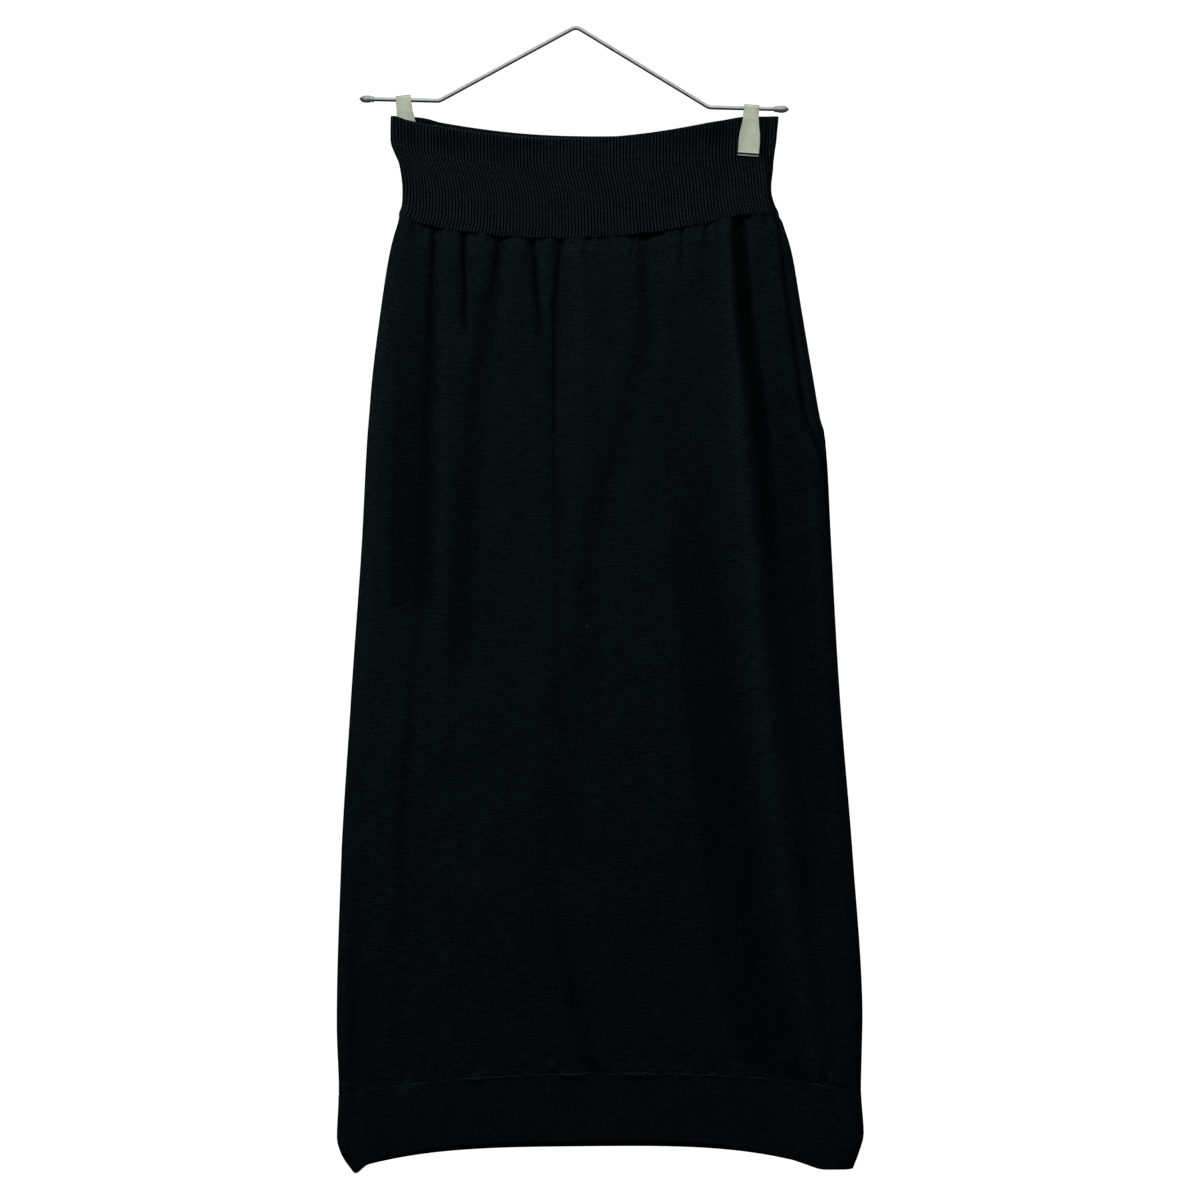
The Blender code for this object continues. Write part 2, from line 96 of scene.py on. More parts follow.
Depth = namedtuple("Depth", "drop front back edge")
DEPTHS = [
    Depth(WAIST_TOP, 9.5, 9.0, 4.5),
    Depth(115.0, 11.0, 10.5, 5.0),
    Depth(WAIST_SEAM, 12.0, 11.5, 5.5),
    Depth(166.0, 16.5, 15.0, 7.0),
    Depth(200.0, 19.5, 17.5, 8.0),
    Depth(320.0, 22.5, 20.0, 9.0),
    Depth(520.0, 24.0, 21.0, 9.5),
    Depth(720.0, 22.0, 20.0, 9.0),
    Depth(HEM_SEAM, 17.5, 17.0, 8.0),
    Depth(HEM_END, 14.0, 15.0, 7.0),
]
CROWN_POWER = 2.4  # how flat the tube is in its middle
FOLD_ROUNDNESS = 1.3  # radius of a side fold, in the tube's half depth there

Bow = namedtuple("Bow", "drop sag middle span power")
FRONT_BOWS = [
    Bow(WAIST_TOP, 18.9, -9.0, 143.0, 2.0),
    Bow(WAIST_SEAM, 20.0, -11.0, 146.0, 2.2),
    Bow(420.0, 6.0, 10.0, 190.0, 2.2),
    Bow(HEM_SEAM, -18.0, 20.0, 214.0, 2.6),
    Bow(HEM_END, -26.0, 4.0, 196.0, 3.4),
]
BACK_BOWS = [
    Bow(WAIST_TOP, 15.2, 18.0, 148.0, 2.0),
    Bow(WAIST_SEAM, 13.8, 10.0, 150.0, 2.2),
    Bow(420.0, 5.0, 12.0, 190.0, 2.2),
    Bow(HEM_SEAM, -12.8, 20.0, 214.0, 2.6),
    Bow(HEM_END, -18.0, 4.0, 196.0, 3.4),
]
BOW_FADE = 12.0  # sideways from a side fold
BOW_SOFTNESS = 0.08

Seam = namedtuple("Seam", "drop right left")
SIDE_SEAMS = [
    Seam(WAIST_TOP, 10.5, 10.0),
    Seam(99.0, 8.5, 9.0),
    Seam(130.0, 3.6, 8.0),
    Seam(162.0, 8.0, 9.0),
    Seam(219.0, 15.0, 12.0),
    Seam(319.0, 17.5, 12.0),
    Seam(372.0, 5.0, 11.0),
    Seam(HEM_END, 4.0, 8.0),
]

# Each fold's place at the heights of FOLD_PLACES, its width at those of FOLD_WIDTHS and its depth
# at those of FOLD_DEPTHS, where a ridge is negative. It fades out above "end", and its narrow
# middle above "crease". A higher power gives it a flatter bottom, and where "left" isn't 1 its
# left flank is a straight slope that many times as wide as the right one.
FOLD_PLACES = (175.0, 250.0, 320.0, 470.0, 640.0, 800.0, 890.0)
FOLD_WIDTHS = (175.0, 470.0, 800.0)
FOLD_DEPTHS = (175.0, 320.0, 470.0, 640.0, 800.0)
Fold = namedtuple("Fold", "places widths depths end crease power left", defaults=(2.0, 1.0))


def plumb(place):
    """The places of a fold that hangs straight down."""
    return (place,) * len(FOLD_PLACES)


FRONT_FOLDS = [
    Fold((-117, -119, -121, -127, -140, -144, -145), (4, 5, 6), (4.5, 2, 1.4, 2.6, 1.8), 900, 250),
    Fold(
        (-113, -116, -120, -121, -124, -124, -124), (5, 6, 6), (2, 4.5, 5.5, 0, 0), 505, 0, left=6.0
    ),
    Fold(
        (-107, -106, -105, -107, -112, -118, -118), (5, 7, 10), (-1.5, -1.8, -1.5, -0.5, 0), 620, 0
    ),
    Fold((-92, -90, -89, -89, -89, -89, -89), (3.5, 4, 5), (6.5, 4, 0, 0, 0), 268, 262),
    Fold((-155, -160, -166, -172, -176, -176, -176), (8, 9, 9), (-2, -3, -3, 0, 0), 620, 0),
    Fold((-63, -72, -81, -90, -98, -98, -98), (6, 12, 13), (7, 4.8, 4.8, 0, 0), 560, 250),
    Fold((-35, -27, -20, -16, -16, -16, -16), (5, 6, 6), (6.5, 2, 0, 0, 0), 285, 262),
    Fold((-13, -17, -17, -13, -8, 10, 16), (4.5, 6, 11), (7, 3, 2.0, 1.8, 0), 720, 420),
    Fold((-40, -40, -40, -55, -31, -3, 17), (8, 8, 9), (0, 0, 0, 1.0, 4.8), 1000, 900),
    Fold((1, 5, 5, 1, 0, 0, 0), (7, 9, 10), (-2, -2, -1.5, 0, 0), 500, 0),
    Fold((9, 10, 10, 10, 10, 10, 10), (4, 4, 4), (3, 0, 0, 0, 0), 210, 205),
    Fold((56, 60, 42, 12, 12, 14, 14), (7, 12, 14), (4, 3.4, 2.2, 0.8, 0), 640, 0),
    Fold(plumb(87), (3.5, 4, 4), (2.5, 0, 0, 0, 0), 215, 205),
    Fold(plumb(108), (3.5, 4, 4), (3, 0, 0, 0, 0), 205, 200),
    Fold(
        (106, 105, 106, 116, 138, 161, 188), (8, 9, 11), (0, 1.7, 3.6, 4.6, 3.8), 1000, 0, 2.4, 4.3
    ),
    Fold((127, 131, 136, 147, 166, 188, 208), (7, 9, 9), (-3.5, -4.5, -5, -4.5, -3), 1000, 0),
    Fold((134.5, 141, 151, 165, 184, 201, 209), (5.5, 8, 7), (12, 11, 5, 2.4, 2.5), 1000, 170, 2.4),
    Fold((150, 158, 170, 184, 196, 205, 205), (8, 15, 12), (0, 2, 3.5, 2, 0), 760, 0, 3.0),
    Fold((171, 180, 190, 194, 194, 194, 194), (4, 4, 4), (3.5, 4.5, 0, 0, 0), 360, 0),
    Fold((-181, -181, -181, -181, -181, -181, -182), (6, 6, 7), (0, 0, 0, 0, 3.5), 1000, 0),
]
BACK_FOLDS = [
    Fold((-124, -127, -130, -137, -144, -150, -150), (7, 12, 15), (7, 6, 5.5, 4.5, 3), 860, 240),
    Fold((-97, -98, -99, -99, -99, -99, -99), (5, 6, 8), (6, 2, 0, 0, 0), 300, 280),
    Fold((-70, -71, -74, -84, -90, -95, -95), (7, 11, 14), (8.5, 6.5, 5, 3, 1), 700, 235, 2.6),
    Fold(plumb(-46), (4.5, 5, 6), (5, 0, 0, 0, 0), 240, 230),
    Fold((-24, -23, -20, -14, -12, -12, -12), (6, 9, 12), (7, 4, 3, 0, 0), 560, 290),
    Fold((12, 14, 17, 22, 26, 30, 32), (7, 11, 15), (7, 5, 4, 3.5, 3), 865, 220, 2.6),
    Fold((40, 40, 41, 41, 41, 41, 41), (4.5, 5, 6.5), (5, 0, 0, 0, 0), 250, 250),
    Fold((66, 65, 63, 56, 58, 60, 60), (7, 11, 14), (6, 5, 4.5, 2, 1), 640, 230),
    Fold(plumb(88), (4.5, 5, 6), (4, 0, 0, 0, 0), 230, 215),
    Fold((112, 115, 120, 133, 145, 156, 160), (8, 13, 17), (9, 7.5, 6.5, 6, 5), 870, 265, 3.0),
    Fold((142, 147, 152, 160, 165, 165, 165), (6, 8, 10), (5, 3.5, 2, 0, 0), 420, 210),
]
FOLD_FADE, CREASE_FADE = 45.0, 60.0  # how far above its end each begins to fade
FOLD_START, CREASE_START = 9.0, 4.0  # below the waistband's seam
FLANK_POWER, CREASE_POWER = 1.2, 1.6
HEM_CALM, HEM_CALM_ABOVE = 0.75, 20.0  # how much of a fold's depth the hem takes, and from where
CREASE_DEEP, CREASE_WIDE = 0.5, 0.30  # a trough's narrow middle: its share of depth and width
FLANK_SHADE = 0.12  # the share of a straight flank's depth at which its shade is full
FULL_SHADE = 6.5  # the depth of trough that is shaded in full

# Hanger and clips, as the solids have them
WIRE = 3.4
HANGER_HALF = 171.7
KNEE_OUT = 111.2
ROOF_FALL = 61.2
PEAK_BEND = 7.0
KNEE_BEND = 9.0
HANGER_LEAN = math.radians(1.4)
BEAD_LONG, BEAD_THICK, BEAD_SOCKET = 13.0, 6.1, 7.5
SHEET_METAL = 0.9
CLIP_LONG = 42.0
CLIP_TOP_WIDE, CLIP_WIDE, CLIP_FOOT_WIDE = 12.4, 18.3, 17.6
LIP_TALL, LIP_STEP = 2.2, 1.5
FIT = 0.3
SEAM_GAP = 0.3
WALL = 1.8
RIB_RISE = 0.6

Clip = namedtuple("Clip", "name out lean y0 y1")
RIBBED = WALL + RIB_RISE
RIGHT_CLIP = Clip("clip_right", 146.3, 2.8, -SEAM_GAP / 2 - RIBBED, SEAM_GAP / 2 + RIBBED)
LEFT_CLIP = Clip("clip_left", -140.9, -7.8, -WALL / 2, WALL / 2 + RIB_RISE)
JAW_OUTSIDE = LIP_STEP + SHEET_METAL + FIT

Pinch = namedtuple("Pinch", "x middle half")
LEFT_FRONT_FACE = LEFT_CLIP.y0 - FIT - JAW_OUTSIDE - FIT - WALL
PINCHES = [
    Pinch(142.5, 0.0, SEAM_GAP / 2 + WALL),
    Pinch(-141.0, (LEFT_FRONT_FACE + WALL / 2) / 2, (WALL / 2 - LEFT_FRONT_FACE) / 2),
]
PINCH_FLAT, PINCH_FADE = 11.5, 24.0  # sideways from the clip's middle line
PINCH_LOW, PINCH_LOW_FADE = 108.0, 40.0
PINCH_ROUNDNESS = 0.85

RING_POINTS = 2401

# A fixed draw for each uneven thing on each face
Draws = namedtuple("Draws", "gathers puckers groove puffs welts wobble")
DRAWS = {"front": Draws(11, 5, 31, 41, 61, 71), "back": Draws(23, 7, 37, 43, 67, 73)}


def eased(rows, drop):
    """Each column after the first of a table, at one or more heights, with no overshoot."""
    table = np.array(rows, float)
    at, values = table[:, 0], table[:, 1:]
    step = np.diff(at)[:, None]
    rise = np.diff(values, axis=0) / step
    slope = np.zeros_like(values)
    turns = rise[:-1] * rise[1:]
    slope[1:-1] = np.where(turns > 0, 2 * turns / np.where(turns > 0, rise[:-1] + rise[1:], 1), 0)
    slope[0], slope[-1] = rise[0], rise[-1]
    drop = np.clip(np.atleast_1d(drop), at[0], at[-1])
    row = np.clip(np.searchsorted(at, drop) - 1, 0, len(at) - 2)
    gap = step[row]
    t = (drop[:, None] - at[row][:, None]) / gap
    return (
        (2 * t**3 - 3 * t**2 + 1) * values[row]
        + (t**3 - 2 * t**2 + t) * gap * slope[row]
        + (3 * t**2 - 2 * t**3) * values[row + 1]
        + (t**3 - t**2) * gap * slope[row + 1]
    )


def ramp(value, low, high):
    """0 below low, 1 above high, and soft between them."""
    t = np.clip((value - low) / (high - low), 0, 1)
    return t * t * (3 - 2 * t)


def hump(value, middle, wide):
    """1 at the middle of a soft hump, and near 0 at twice its width from there."""
    return np.exp(-(((value - middle) / wide) ** 2))


def uneven(seed, x, low, high, spacing):
    """A soft uneven run of values along a seam, from a fixed draw."""
    knots = np.arange(-210.0, 260.0, spacing)
    values = np.random.default_rng(seed).uniform(low, high, knots.size)
    t = (np.clip(x, knots[0], knots[-1] - 1e-6) - knots[0]) / spacing
    k = t.astype(int)
    t = t - k
    t = t * t * (3 - 2 * t)
    return values[k] * (1 - t) + values[k + 1] * t


def sag_at(bows, drop, x):
    """How far below its height at the side folds the cloth hangs."""
    sag, middle, span, power = eased(bows, drop)[0]
    share = 1 - np.abs((x - middle) / span) ** power
    return sag * (share + np.hypot(share, BOW_SOFTNESS)) / 2


def troughs(folds, x, drop, shade=False):
    """How far the folds draw the cloth in at each point, or how much they shade it: a straight
    flank is shaded evenly."""
    depth = np.zeros_like(x)
    for fold in folds:
        place, wide, deep = (
            eased(list(zip(heights, values)), drop)[:, 0]
            for heights, values in (
                (FOLD_PLACES, fold.places), (FOLD_WIDTHS, fold.widths), (FOLD_DEPTHS, fold.depths)
            )
        )
        deep = deep * (1 - HEM_CALM * ramp(drop, HEM_SEAM - HEM_CALM_ABOVE, HEM_END))
        aside = np.abs(x - place) / wide
        left = (x < place) & (fold.left != 1)
        alive = 1 - ramp(drop, fold.end - FOLD_FADE, fold.end)
        crease = CREASE_DEEP * (1 - ramp(drop, fold.crease - CREASE_FADE, fold.crease))
        slope = np.maximum(1 - aside / fold.left, 0) ** FLANK_POWER
        if shade and fold.left != 1:
            slope = ramp(slope, 0.0, FLANK_SHADE)
        broad = np.where(left, slope, np.exp(-(aside**fold.power))) * (1 - crease)
        broad = broad * ramp(drop, WAIST_SEAM, WAIST_SEAM + FOLD_START)
        narrow = crease * np.exp(-((aside / CREASE_WIDE) ** CREASE_POWER))
        narrow = narrow * ramp(drop, WAIST_SEAM - 2, WAIST_SEAM + CREASE_START)
        depth += (broad + narrow) * deep * alive
    return depth


def pinch_share(x, drop, clip_x):
    """How much a clip presses the layers together, from 0 to 1."""
    sideways = 1 - ramp(np.abs(x - clip_x), PINCH_FLAT, PINCH_FLAT + PINCH_FADE)
    return sideways * (1 - ramp(drop, PINCH_LOW, PINCH_LOW + PINCH_LOW_FADE))


@functools.lru_cache(maxsize=None)
def ring(drop):
    """The outside of the knitted tube at one height: from the left fold across the front to the
    right fold, and back across the back. It gives the way along the cloth, x, y and drop."""
    left, right = eased(OUTLINE, drop)[0]
    front, back, edge = eased(DEPTHS, drop)[0]
    turn = np.linspace(0, 2 * math.pi, RING_POINTS)
    middle, half = (left + right) / 2, (right - left) / 2
    x = middle - half * np.cos(turn)
    side = np.where(turn <= math.pi, -1.0, 1.0)
    aside = np.abs(np.cos(turn))
    inset = half * (1 - aside)

    sag = np.where(side < 0, sag_at(FRONT_BOWS, drop, x), sag_at(BACK_BOWS, drop, x))
    lean = HEM_LEAN * ramp(drop, WAIST_SEAM, HEM_SEAM) * (middle - x) / half
    front_line, back_line = (
        uneven(DRAWS[face].wobble, x, -SEAM_WOBBLE, SEAM_WOBBLE, WOBBLE_STEP) for face in FACES
    )
    wobble = hump(drop, WAIST_SEAM, 3.5) + 0.8 * hump(drop, HEM_SEAM, 4)
    wobble = wobble * np.where(side < 0, front_line, back_line) * ramp(inset, 2, 10)
    hang = drop + sag * ramp(inset, 0, BOW_FADE) + lean + wobble

    crown = edge + (np.where(side < 0, front, back) - edge) * (1 - aside**CROWN_POWER)
    centre = np.zeros_like(x)
    fold_radius = np.full_like(x, FOLD_ROUNDNESS * edge)
    for pinch in PINCHES:
        share = pinch_share(x, drop, pinch.x)
        centre += share * pinch.middle
        crown += share * (pinch.half - crown)
        fold_radius += share * (PINCH_ROUNDNESS * pinch.half - fold_radius)
    closeness = np.clip(inset / fold_radius, 0, 1)
    rounding = np.sqrt(1 - (1 - closeness) ** 2)

    folds = np.zeros_like(x)
    if drop > WAIST_SEAM:
        folds = np.where(side < 0, troughs(FRONT_FOLDS, x, hang), troughs(BACK_FOLDS, x, hang))
        folds *= ramp(inset, 0, 2 * edge)
    y = centre + side * (crown * rounding - folds)
    run, rise = np.diff(x), np.diff(y)
    if drop <= WAIST_SEAM:
        rise *= 1 - ramp(inset[1:], 6, 16)  # the ribs hang plumb past a clip
    along = np.concatenate([[0], np.cumsum(np.hypot(run, rise))])
    return along, x, y, hang


def piece_span(side, drop, along):
    """Where the front or the back piece begins and ends, along the cloth."""
    right, left = eased(SIDE_SEAMS, drop)[0]
    right_seam = along[(RING_POINTS - 1) // 2] - right
    return (-left, right_seam) if side == "front" else (right_seam, along[-1] - left)


# ---- Settings ----


class SkirtSettings(bpy.types.PropertyGroup):
    """Sizes and colours of the knitted cloth."""

    wall: FloatProperty(
        name="Knit thickness", description="Thickness of the cloth without its ribs",
        default=WALL * MM, min=0.0005, max=0.004, unit="LENGTH",
    )
    waist_ribs: IntProperty(
        name="Waistband ribs", description="Ribs on each of the two waistband pieces",
        default=118, min=20, max=200,
    )
    hem_ribs: IntProperty(
        name="Hem ribs", description="Ribs on each of the two hem pieces",
        default=172, min=20, max=260,
    )
    rib_rise: FloatProperty(
        name="Rib height", description="How far a waistband rib stands out",
        default=RIB_RISE * MM, min=0.0, max=0.002, unit="LENGTH",
    )
    hem_rib_rise: FloatProperty(
        name="Hem rib height", description="How far a hem rib stands out",
        default=0.00016, min=0.0, max=0.002, unit="LENGTH",
    )
    gathers: IntProperty(
        name="Gathers", description="Small gathers under the waistband, on each face",
        default=72, min=0, max=160,
    )
    yarn: FloatVectorProperty(
        name="Yarn", description="Colour of the yarn", subtype="COLOR", size=3,
        default=(0.0030, 0.0049, 0.0051), min=0.0, max=1.0,
    )
    rib_yarn: FloatVectorProperty(
        name="Waistband yarn", description="Colour of the waistband's yarn", subtype="COLOR",
        size=3, default=(0.0030, 0.0043, 0.0046), min=0.0, max=1.0,
    )
    heather: FloatProperty(
        name="Heather", description="How much the yarn's shade varies along a course",
        default=0.55, min=0.0, max=1.0, subtype="FACTOR",
    )


class HangerSettings(bpy.types.PropertyGroup):
    """Sizes and colours of the wire hanger and its clips."""

    wire: FloatProperty(
        name="Wire", description="Thickness of the wire",
        default=WIRE * MM, min=0.001, max=0.006, unit="LENGTH",
    )
    sheet: FloatProperty(
        name="Clip sheet", description="Thickness of the clips' sheet metal",
        default=SHEET_METAL * MM, min=0.0004, max=0.002, unit="LENGTH",
    )
    steel: FloatVectorProperty(
        name="Steel", description="Colour of the wire and the beads", subtype="COLOR", size=3,
        default=(0.48, 0.48, 0.43), min=0.0, max=1.0,
    )
    plating: FloatVectorProperty(
        name="Plating", description="Colour of the clips' satin plating", subtype="COLOR", size=3,
        default=(0.50, 0.515, 0.42), min=0.0, max=1.0,
    )


class StudioSettings(bpy.types.PropertyGroup):
    """The pale studio round the skirt."""

    camera_away: FloatProperty(
        name="Camera distance", description="From the camera to the skirt",
        default=3.0, min=1.0, max=8.0, unit="LENGTH",
    )
    key_power: FloatProperty(
        name="Key light", description="Power of the large soft light above the front, in watts",
        default=44.0, min=0.0, max=2000.0,
    )
    card_power: FloatProperty(
        name="Cards", description="Power of the pale cards that the metal mirrors, in watts",
        default=24.0, min=0.0, max=500.0,
    )
    backdrop: FloatVectorProperty(
        name="Backdrop", description="Colour of the floor and the wall", subtype="COLOR", size=3,
        default=(0.9, 0.9, 0.9), min=0.0, max=1.0,
    )


# ---- Materials ----


def stands_for(obj, node):
    """Puts a piece in the place of the frame's node: hangs it under the root and hides the node."""
    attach(obj, "root")
    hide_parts(node)


class Nodes:
    """The node tree of a material or a world, with short calls that add a node and join it up."""

    def __init__(self, owner, shader="Principled BSDF"):
        owner.use_nodes = True
        self.tree = owner.node_tree
        self.shader = self.tree.nodes[shader]

    def add(self, kind, inputs=None, **settings):
        node = self.tree.nodes.new("ShaderNode" + kind)
        for key, value in settings.items():
            setattr(node, key, value)
        for key, value in (inputs or {}).items():
            self.put(node.inputs[key], value)
        return node

    def put(self, socket, value):
        if isinstance(value, bpy.types.NodeSocket):
            self.tree.links.new(value, socket)
        else:
            socket.default_value = value

    def math(self, operation, *values):
        node = self.add("Math", operation=operation)
        for socket, value in zip(node.inputs, values):
            self.put(socket, value)
        return node.outputs[0]

    def plus(self, *values):
        return self.math("ADD", *values)

    def times(self, *values):
        return self.math("MULTIPLY", *values)

    def span(self, value, low, high, new_low=0.0, new_high=1.0):
        """A value between low and high moved to between new_low and new_high."""
        ends = {"From Min": low, "From Max": high, "To Min": new_low, "To Max": new_high}
        return self.add("MapRange", {"Value": value, **ends}).outputs["Result"]

    def noise(self, vector, scale, **settings):
        inputs = {"Vector": vector, "Scale": scale, **settings}
        return self.add("TexNoise", inputs).outputs["Fac"]

    def tinted(self, colour, shade):
        """A colour made lighter or darker by a shade."""
        scaled = self.add("VectorMath", {0: colour, "Scale": shade}, operation="SCALE")
        return scaled.outputs["Vector"]

    def bump(self, height, strength, distance):
        inputs = {"Height": height, "Strength": strength, "Distance": distance}
        return self.add("Bump", inputs).outputs["Normal"]

    def set(self, **sockets):
        for key, value in sockets.items():
            self.put(self.shader.inputs[key.replace("_", " ")], value)


KNIT_MAP = "knit"  # a UV map in metres: along the cloth, and up it
RIB_CROWN = "rib_crown"  # 1 on top of a rib and 0 between two; the knit paints its rib shade and highlight from it
PAINTED_SHADE_ATTRIBUTE = "crease"  # painted shade and highlight: from -2, a painted highlight on a sharp ridge or a raised edge, to 1, painted shade deep in a fold or a groove


def knit_material(name, yarn, heather, wale, course, furrow_shade=1.0):
    """Fine matt knit: stitches in wales and courses, streaks of lighter yarn, a faint sheen. It
    paints shade in folds, grooves and between two ribs, and highlights on ridges, raised edges and
    rib crowns; furrow_shade is how much brightness is left between two ribs, 0 for the darkest
    painted shade and 1 for none."""
    material = bpy.data.materials.new(name)
    n = Nodes(material)
    cloth = n.add("UVMap", uv_map=KNIT_MAP).outputs["UV"]
    apart = n.add("SeparateXYZ", {"Vector": cloth})
    across, up = apart.outputs["X"], apart.outputs["Y"]

    # Each stitch is a V: two legs that rise from the middle of the wale
    wales = n.plus(n.math("DIVIDE", across, wale), 0.5)
    aside = n.math("ABSOLUTE", n.math("SUBTRACT", n.math("FRACT", wales), 0.5))
    leg = n.math("SINE", n.times(aside, 2 * math.pi))
    rising = n.plus(n.math("DIVIDE", up, course), n.times(aside, -1.5))
    loop = n.math("COSINE", n.times(rising, 2 * math.pi))
    stitch = n.times(leg, n.span(loop, -1.0, 1.0, 0.45, 1.0))

    def streaks(along, above, detail):
        stretched = n.add("Mapping", {"Vector": cloth, "Scale": (along, above, 1.0)})
        return n.noise(stretched.outputs[0], 1.0, Detail=detail, Roughness=0.6)

    courses = streaks(90.0, 600.0, 2.0)
    fluff = streaks(520.0, 620.0, 2.0)
    flecks = streaks(700.0, 900.0, 0.0)
    patches = streaks(36.0, 26.0, 2.0)
    lint = n.add("TexVoronoi", {"Vector": cloth, "Scale": 55.0})
    small = n.math("LESS_THAN", lint.outputs["Distance"], 0.03)
    chance = n.add("SeparateXYZ", {0: lint.outputs["Color"]}).outputs["X"]
    speck = n.times(small, n.math("GREATER_THAN", chance, 0.985))

    # Courses of lighter and darker yarn, single pale fibres, lint and soft patches
    shade = n.plus(n.times(courses, 0.6), n.times(fluff, 0.4))
    shade = n.span(shade, 0.36, 0.64, 1.0 - heather, 1.0 + heather)
    shade = n.plus(shade, n.span(flecks, 0.62, 0.78, 0.0, 1.8))
    shade = n.plus(shade, n.times(speck, 14.0))
    shade = n.times(shade, n.span(patches, 0.3, 0.7, 0.90, 1.10))

    # Painted shade in a fold, in a groove and between two ribs; a painted highlight on a ridge, a
    # raised edge and a rib's crown; and paler on each stitch
    crease = n.add("Attribute", attribute_name=PAINTED_SHADE_ATTRIBUTE).outputs["Fac"]
    shade = n.times(shade, n.span(crease, -2.0, 1.0, 1.9, 0.55))
    crown = n.add("Attribute", attribute_name=RIB_CROWN).outputs["Fac"]
    shade = n.times(shade, n.span(crown, 0.3, 0.9, furrow_shade, 1.0 + 1.15 * (1 - furrow_shade)))
    shade = n.times(shade, n.span(stitch, 0.0, 1.0, 0.75, 1.15))

    fuzz = n.plus(n.times(stitch, 0.6), n.times(fluff, 0.8))
    n.set(
        Base_Color=n.tinted(yarn, shade), Roughness=0.9, Specular_IOR_Level=0.01,
        Sheen_Weight=0.003, Sheen_Roughness=0.45, Sheen_Tint=(0.75, 0.95, 1.0, 1.0),
        Normal=n.bump(fuzz, 0.5, 0.00018),
    )
    return material


def metal_material(name, colour, roughness, grain_scale, grain, mottle=0.09):
    """Satin metal: a fine drawn or cast grain in its roughness and relief, dulled in spots."""
    material = bpy.data.materials.new(name)
    n = Nodes(material)
    place = n.add("TexCoord").outputs["Object"]
    grain_place = n.add("Mapping", {"Vector": place, "Scale": grain_scale}).outputs[0]
    fine = n.noise(grain_place, 1.0, Detail=3.0)
    wear = n.noise(place, 160.0, Detail=2.0)
    spots = n.span(wear, 0.35, 0.65, 0.93, 1.05)
    shade = n.times(n.span(fine, 0.3, 0.7, 1.0 - mottle, 1.0 + mottle), spots)
    n.set(
        Base_Color=n.tinted(colour, shade), Metallic=1.0, Normal=n.bump(fine, 0.4, grain),
        Roughness=n.span(fine, 0.3, 0.7, roughness - 0.05, roughness + 0.07),
    )
    return material


def lip_shade_material():
    """A near-black coat of painted shade for the recessed faces above the clips' lips, a little
    rough and grained.
    """
    material = bpy.data.materials.new("grip_coat")
    n = Nodes(material)
    grain = n.noise(n.add("TexCoord").outputs["Object"], 1800.0, Detail=2.0)
    n.set(
        Base_Color=(0.02, 0.02, 0.018, 1.0), Roughness=n.span(grain, 0.3, 0.7, 0.55, 0.75),
        Specular_IOR_Level=0.2, Normal=n.bump(grain, 0.5, 0.0001),
    )
    return material


# ---- Cloth ----

EDGE_ROUND = 0.75  # radius of the rounded long edges of a knitted piece
SIDE_GROOVE, SIDE_GROOVE_WIDE = 1.2, 2.0  # a side seam's groove
GROOVE_CALM, GROOVE_CALM_FROM, GROOVE_CALM_TO = 0.7, 400.0, 700.0  # how it fades going down
THINNEST = 0.5  # of a wall where its outside dips into a narrow crease
COLUMN_STEP = 4  # columns outside for each one inside
RIB_COLUMNS = 8  # to each rib, outside

# Steps between rows, fine at an edge and coarse this far from it
Steps = namedtuple("Steps", "fine coarse reach")
WAIST_STEPS = Steps(1.2, 4.5, 14.0)
BODY_STEPS = Steps(1.1, 9.0, 75.0)
HEM_STEPS = Steps(0.5, 5.0, 9.0)

# The waistband
WAIST_WALE, WAIST_COURSE, WAIST_RIBS_VARY = 2.64 * MM, 1.5 * MM, 0.12
LIP_OUT, LIP_OUT_TALL = 1.0, 3.0  # how its foot stands off the body over a deep groove
CURL, CURL_TALL = 3.6, 11.0  # how its top leans out between the clips
EDGE_HIGHLIGHT, EDGE_HIGHLIGHT_TALL = 2.0, 1.1  # a painted highlight along its top edge
UNDER_EDGE, UNDER_EDGE_LOW, UNDER_EDGE_TALL = 0.55, 13.0, 9.0  # the shade below, at the left

# The body
BODY_WALE, BODY_COURSE = 1.25 * MM, 0.95 * MM
BODY_COLUMNS, CROWDING = 520, 0.2  # columns across, and how much they crowd towards the sides
GROOVE_DEEP, GROOVE_LOW = 1.3, 1.6  # the groove under the waistband
CLEAR_DEEP, CLEAR_LOW = 3.0, 1.6  # and what an overhang adds to it
PUFF, PUFF_LOW, PUFF_TALL = 0.6, 6.0, 5.0  # how the cloth swells between the gathers
PLAIN_CROWN = 0.6  # stands for a rib's crown where there is none
GATHERED = (-150, 172)  # from left to right
PUCKERED, PUCKERS, DENTS = (-192, 230), 100, 90
OVERHANGS = {
    "front": ((57, 20, 1.0), (138, 11, 0.8)),
    "back": ((-60, 14, 0.7), (95, 16, 0.9)),
}
Gather = namedtuple("Gather", "x lean wide deep long")
Blister = namedtuple("Blister", "x up wide tall rise")
Welt = namedtuple("Welt", "x wide tall rise")

# The hem
HEM_WALE, HEM_COURSE, HEM_RIBS_VARY = 2.5 * MM, 1.3 * MM, 0.35
WELT_LOW, WELT_TALL = 1.2, 1.1  # the linked seam's line of stitches
BUMP_LOW = 1.5  # and where it stands out most, on the front
WELT_HIGHLIGHT = 1.2  # a painted highlight on it, this much for each millimetre that it stands out
WELTS = (
    Welt(-136, 9, 8, 2.4), Welt(-84, 9, 2.4, 1.8), Welt(-50, 3, 2, 1.2), Welt(-5, 9, 2.4, 1.8),
    Welt(48, 14, 2.4, 1.7), Welt(93, 5, 2, 1.4), Welt(150, 6, 2, 1.1), Welt(203, 6, 7, 1.8),
)


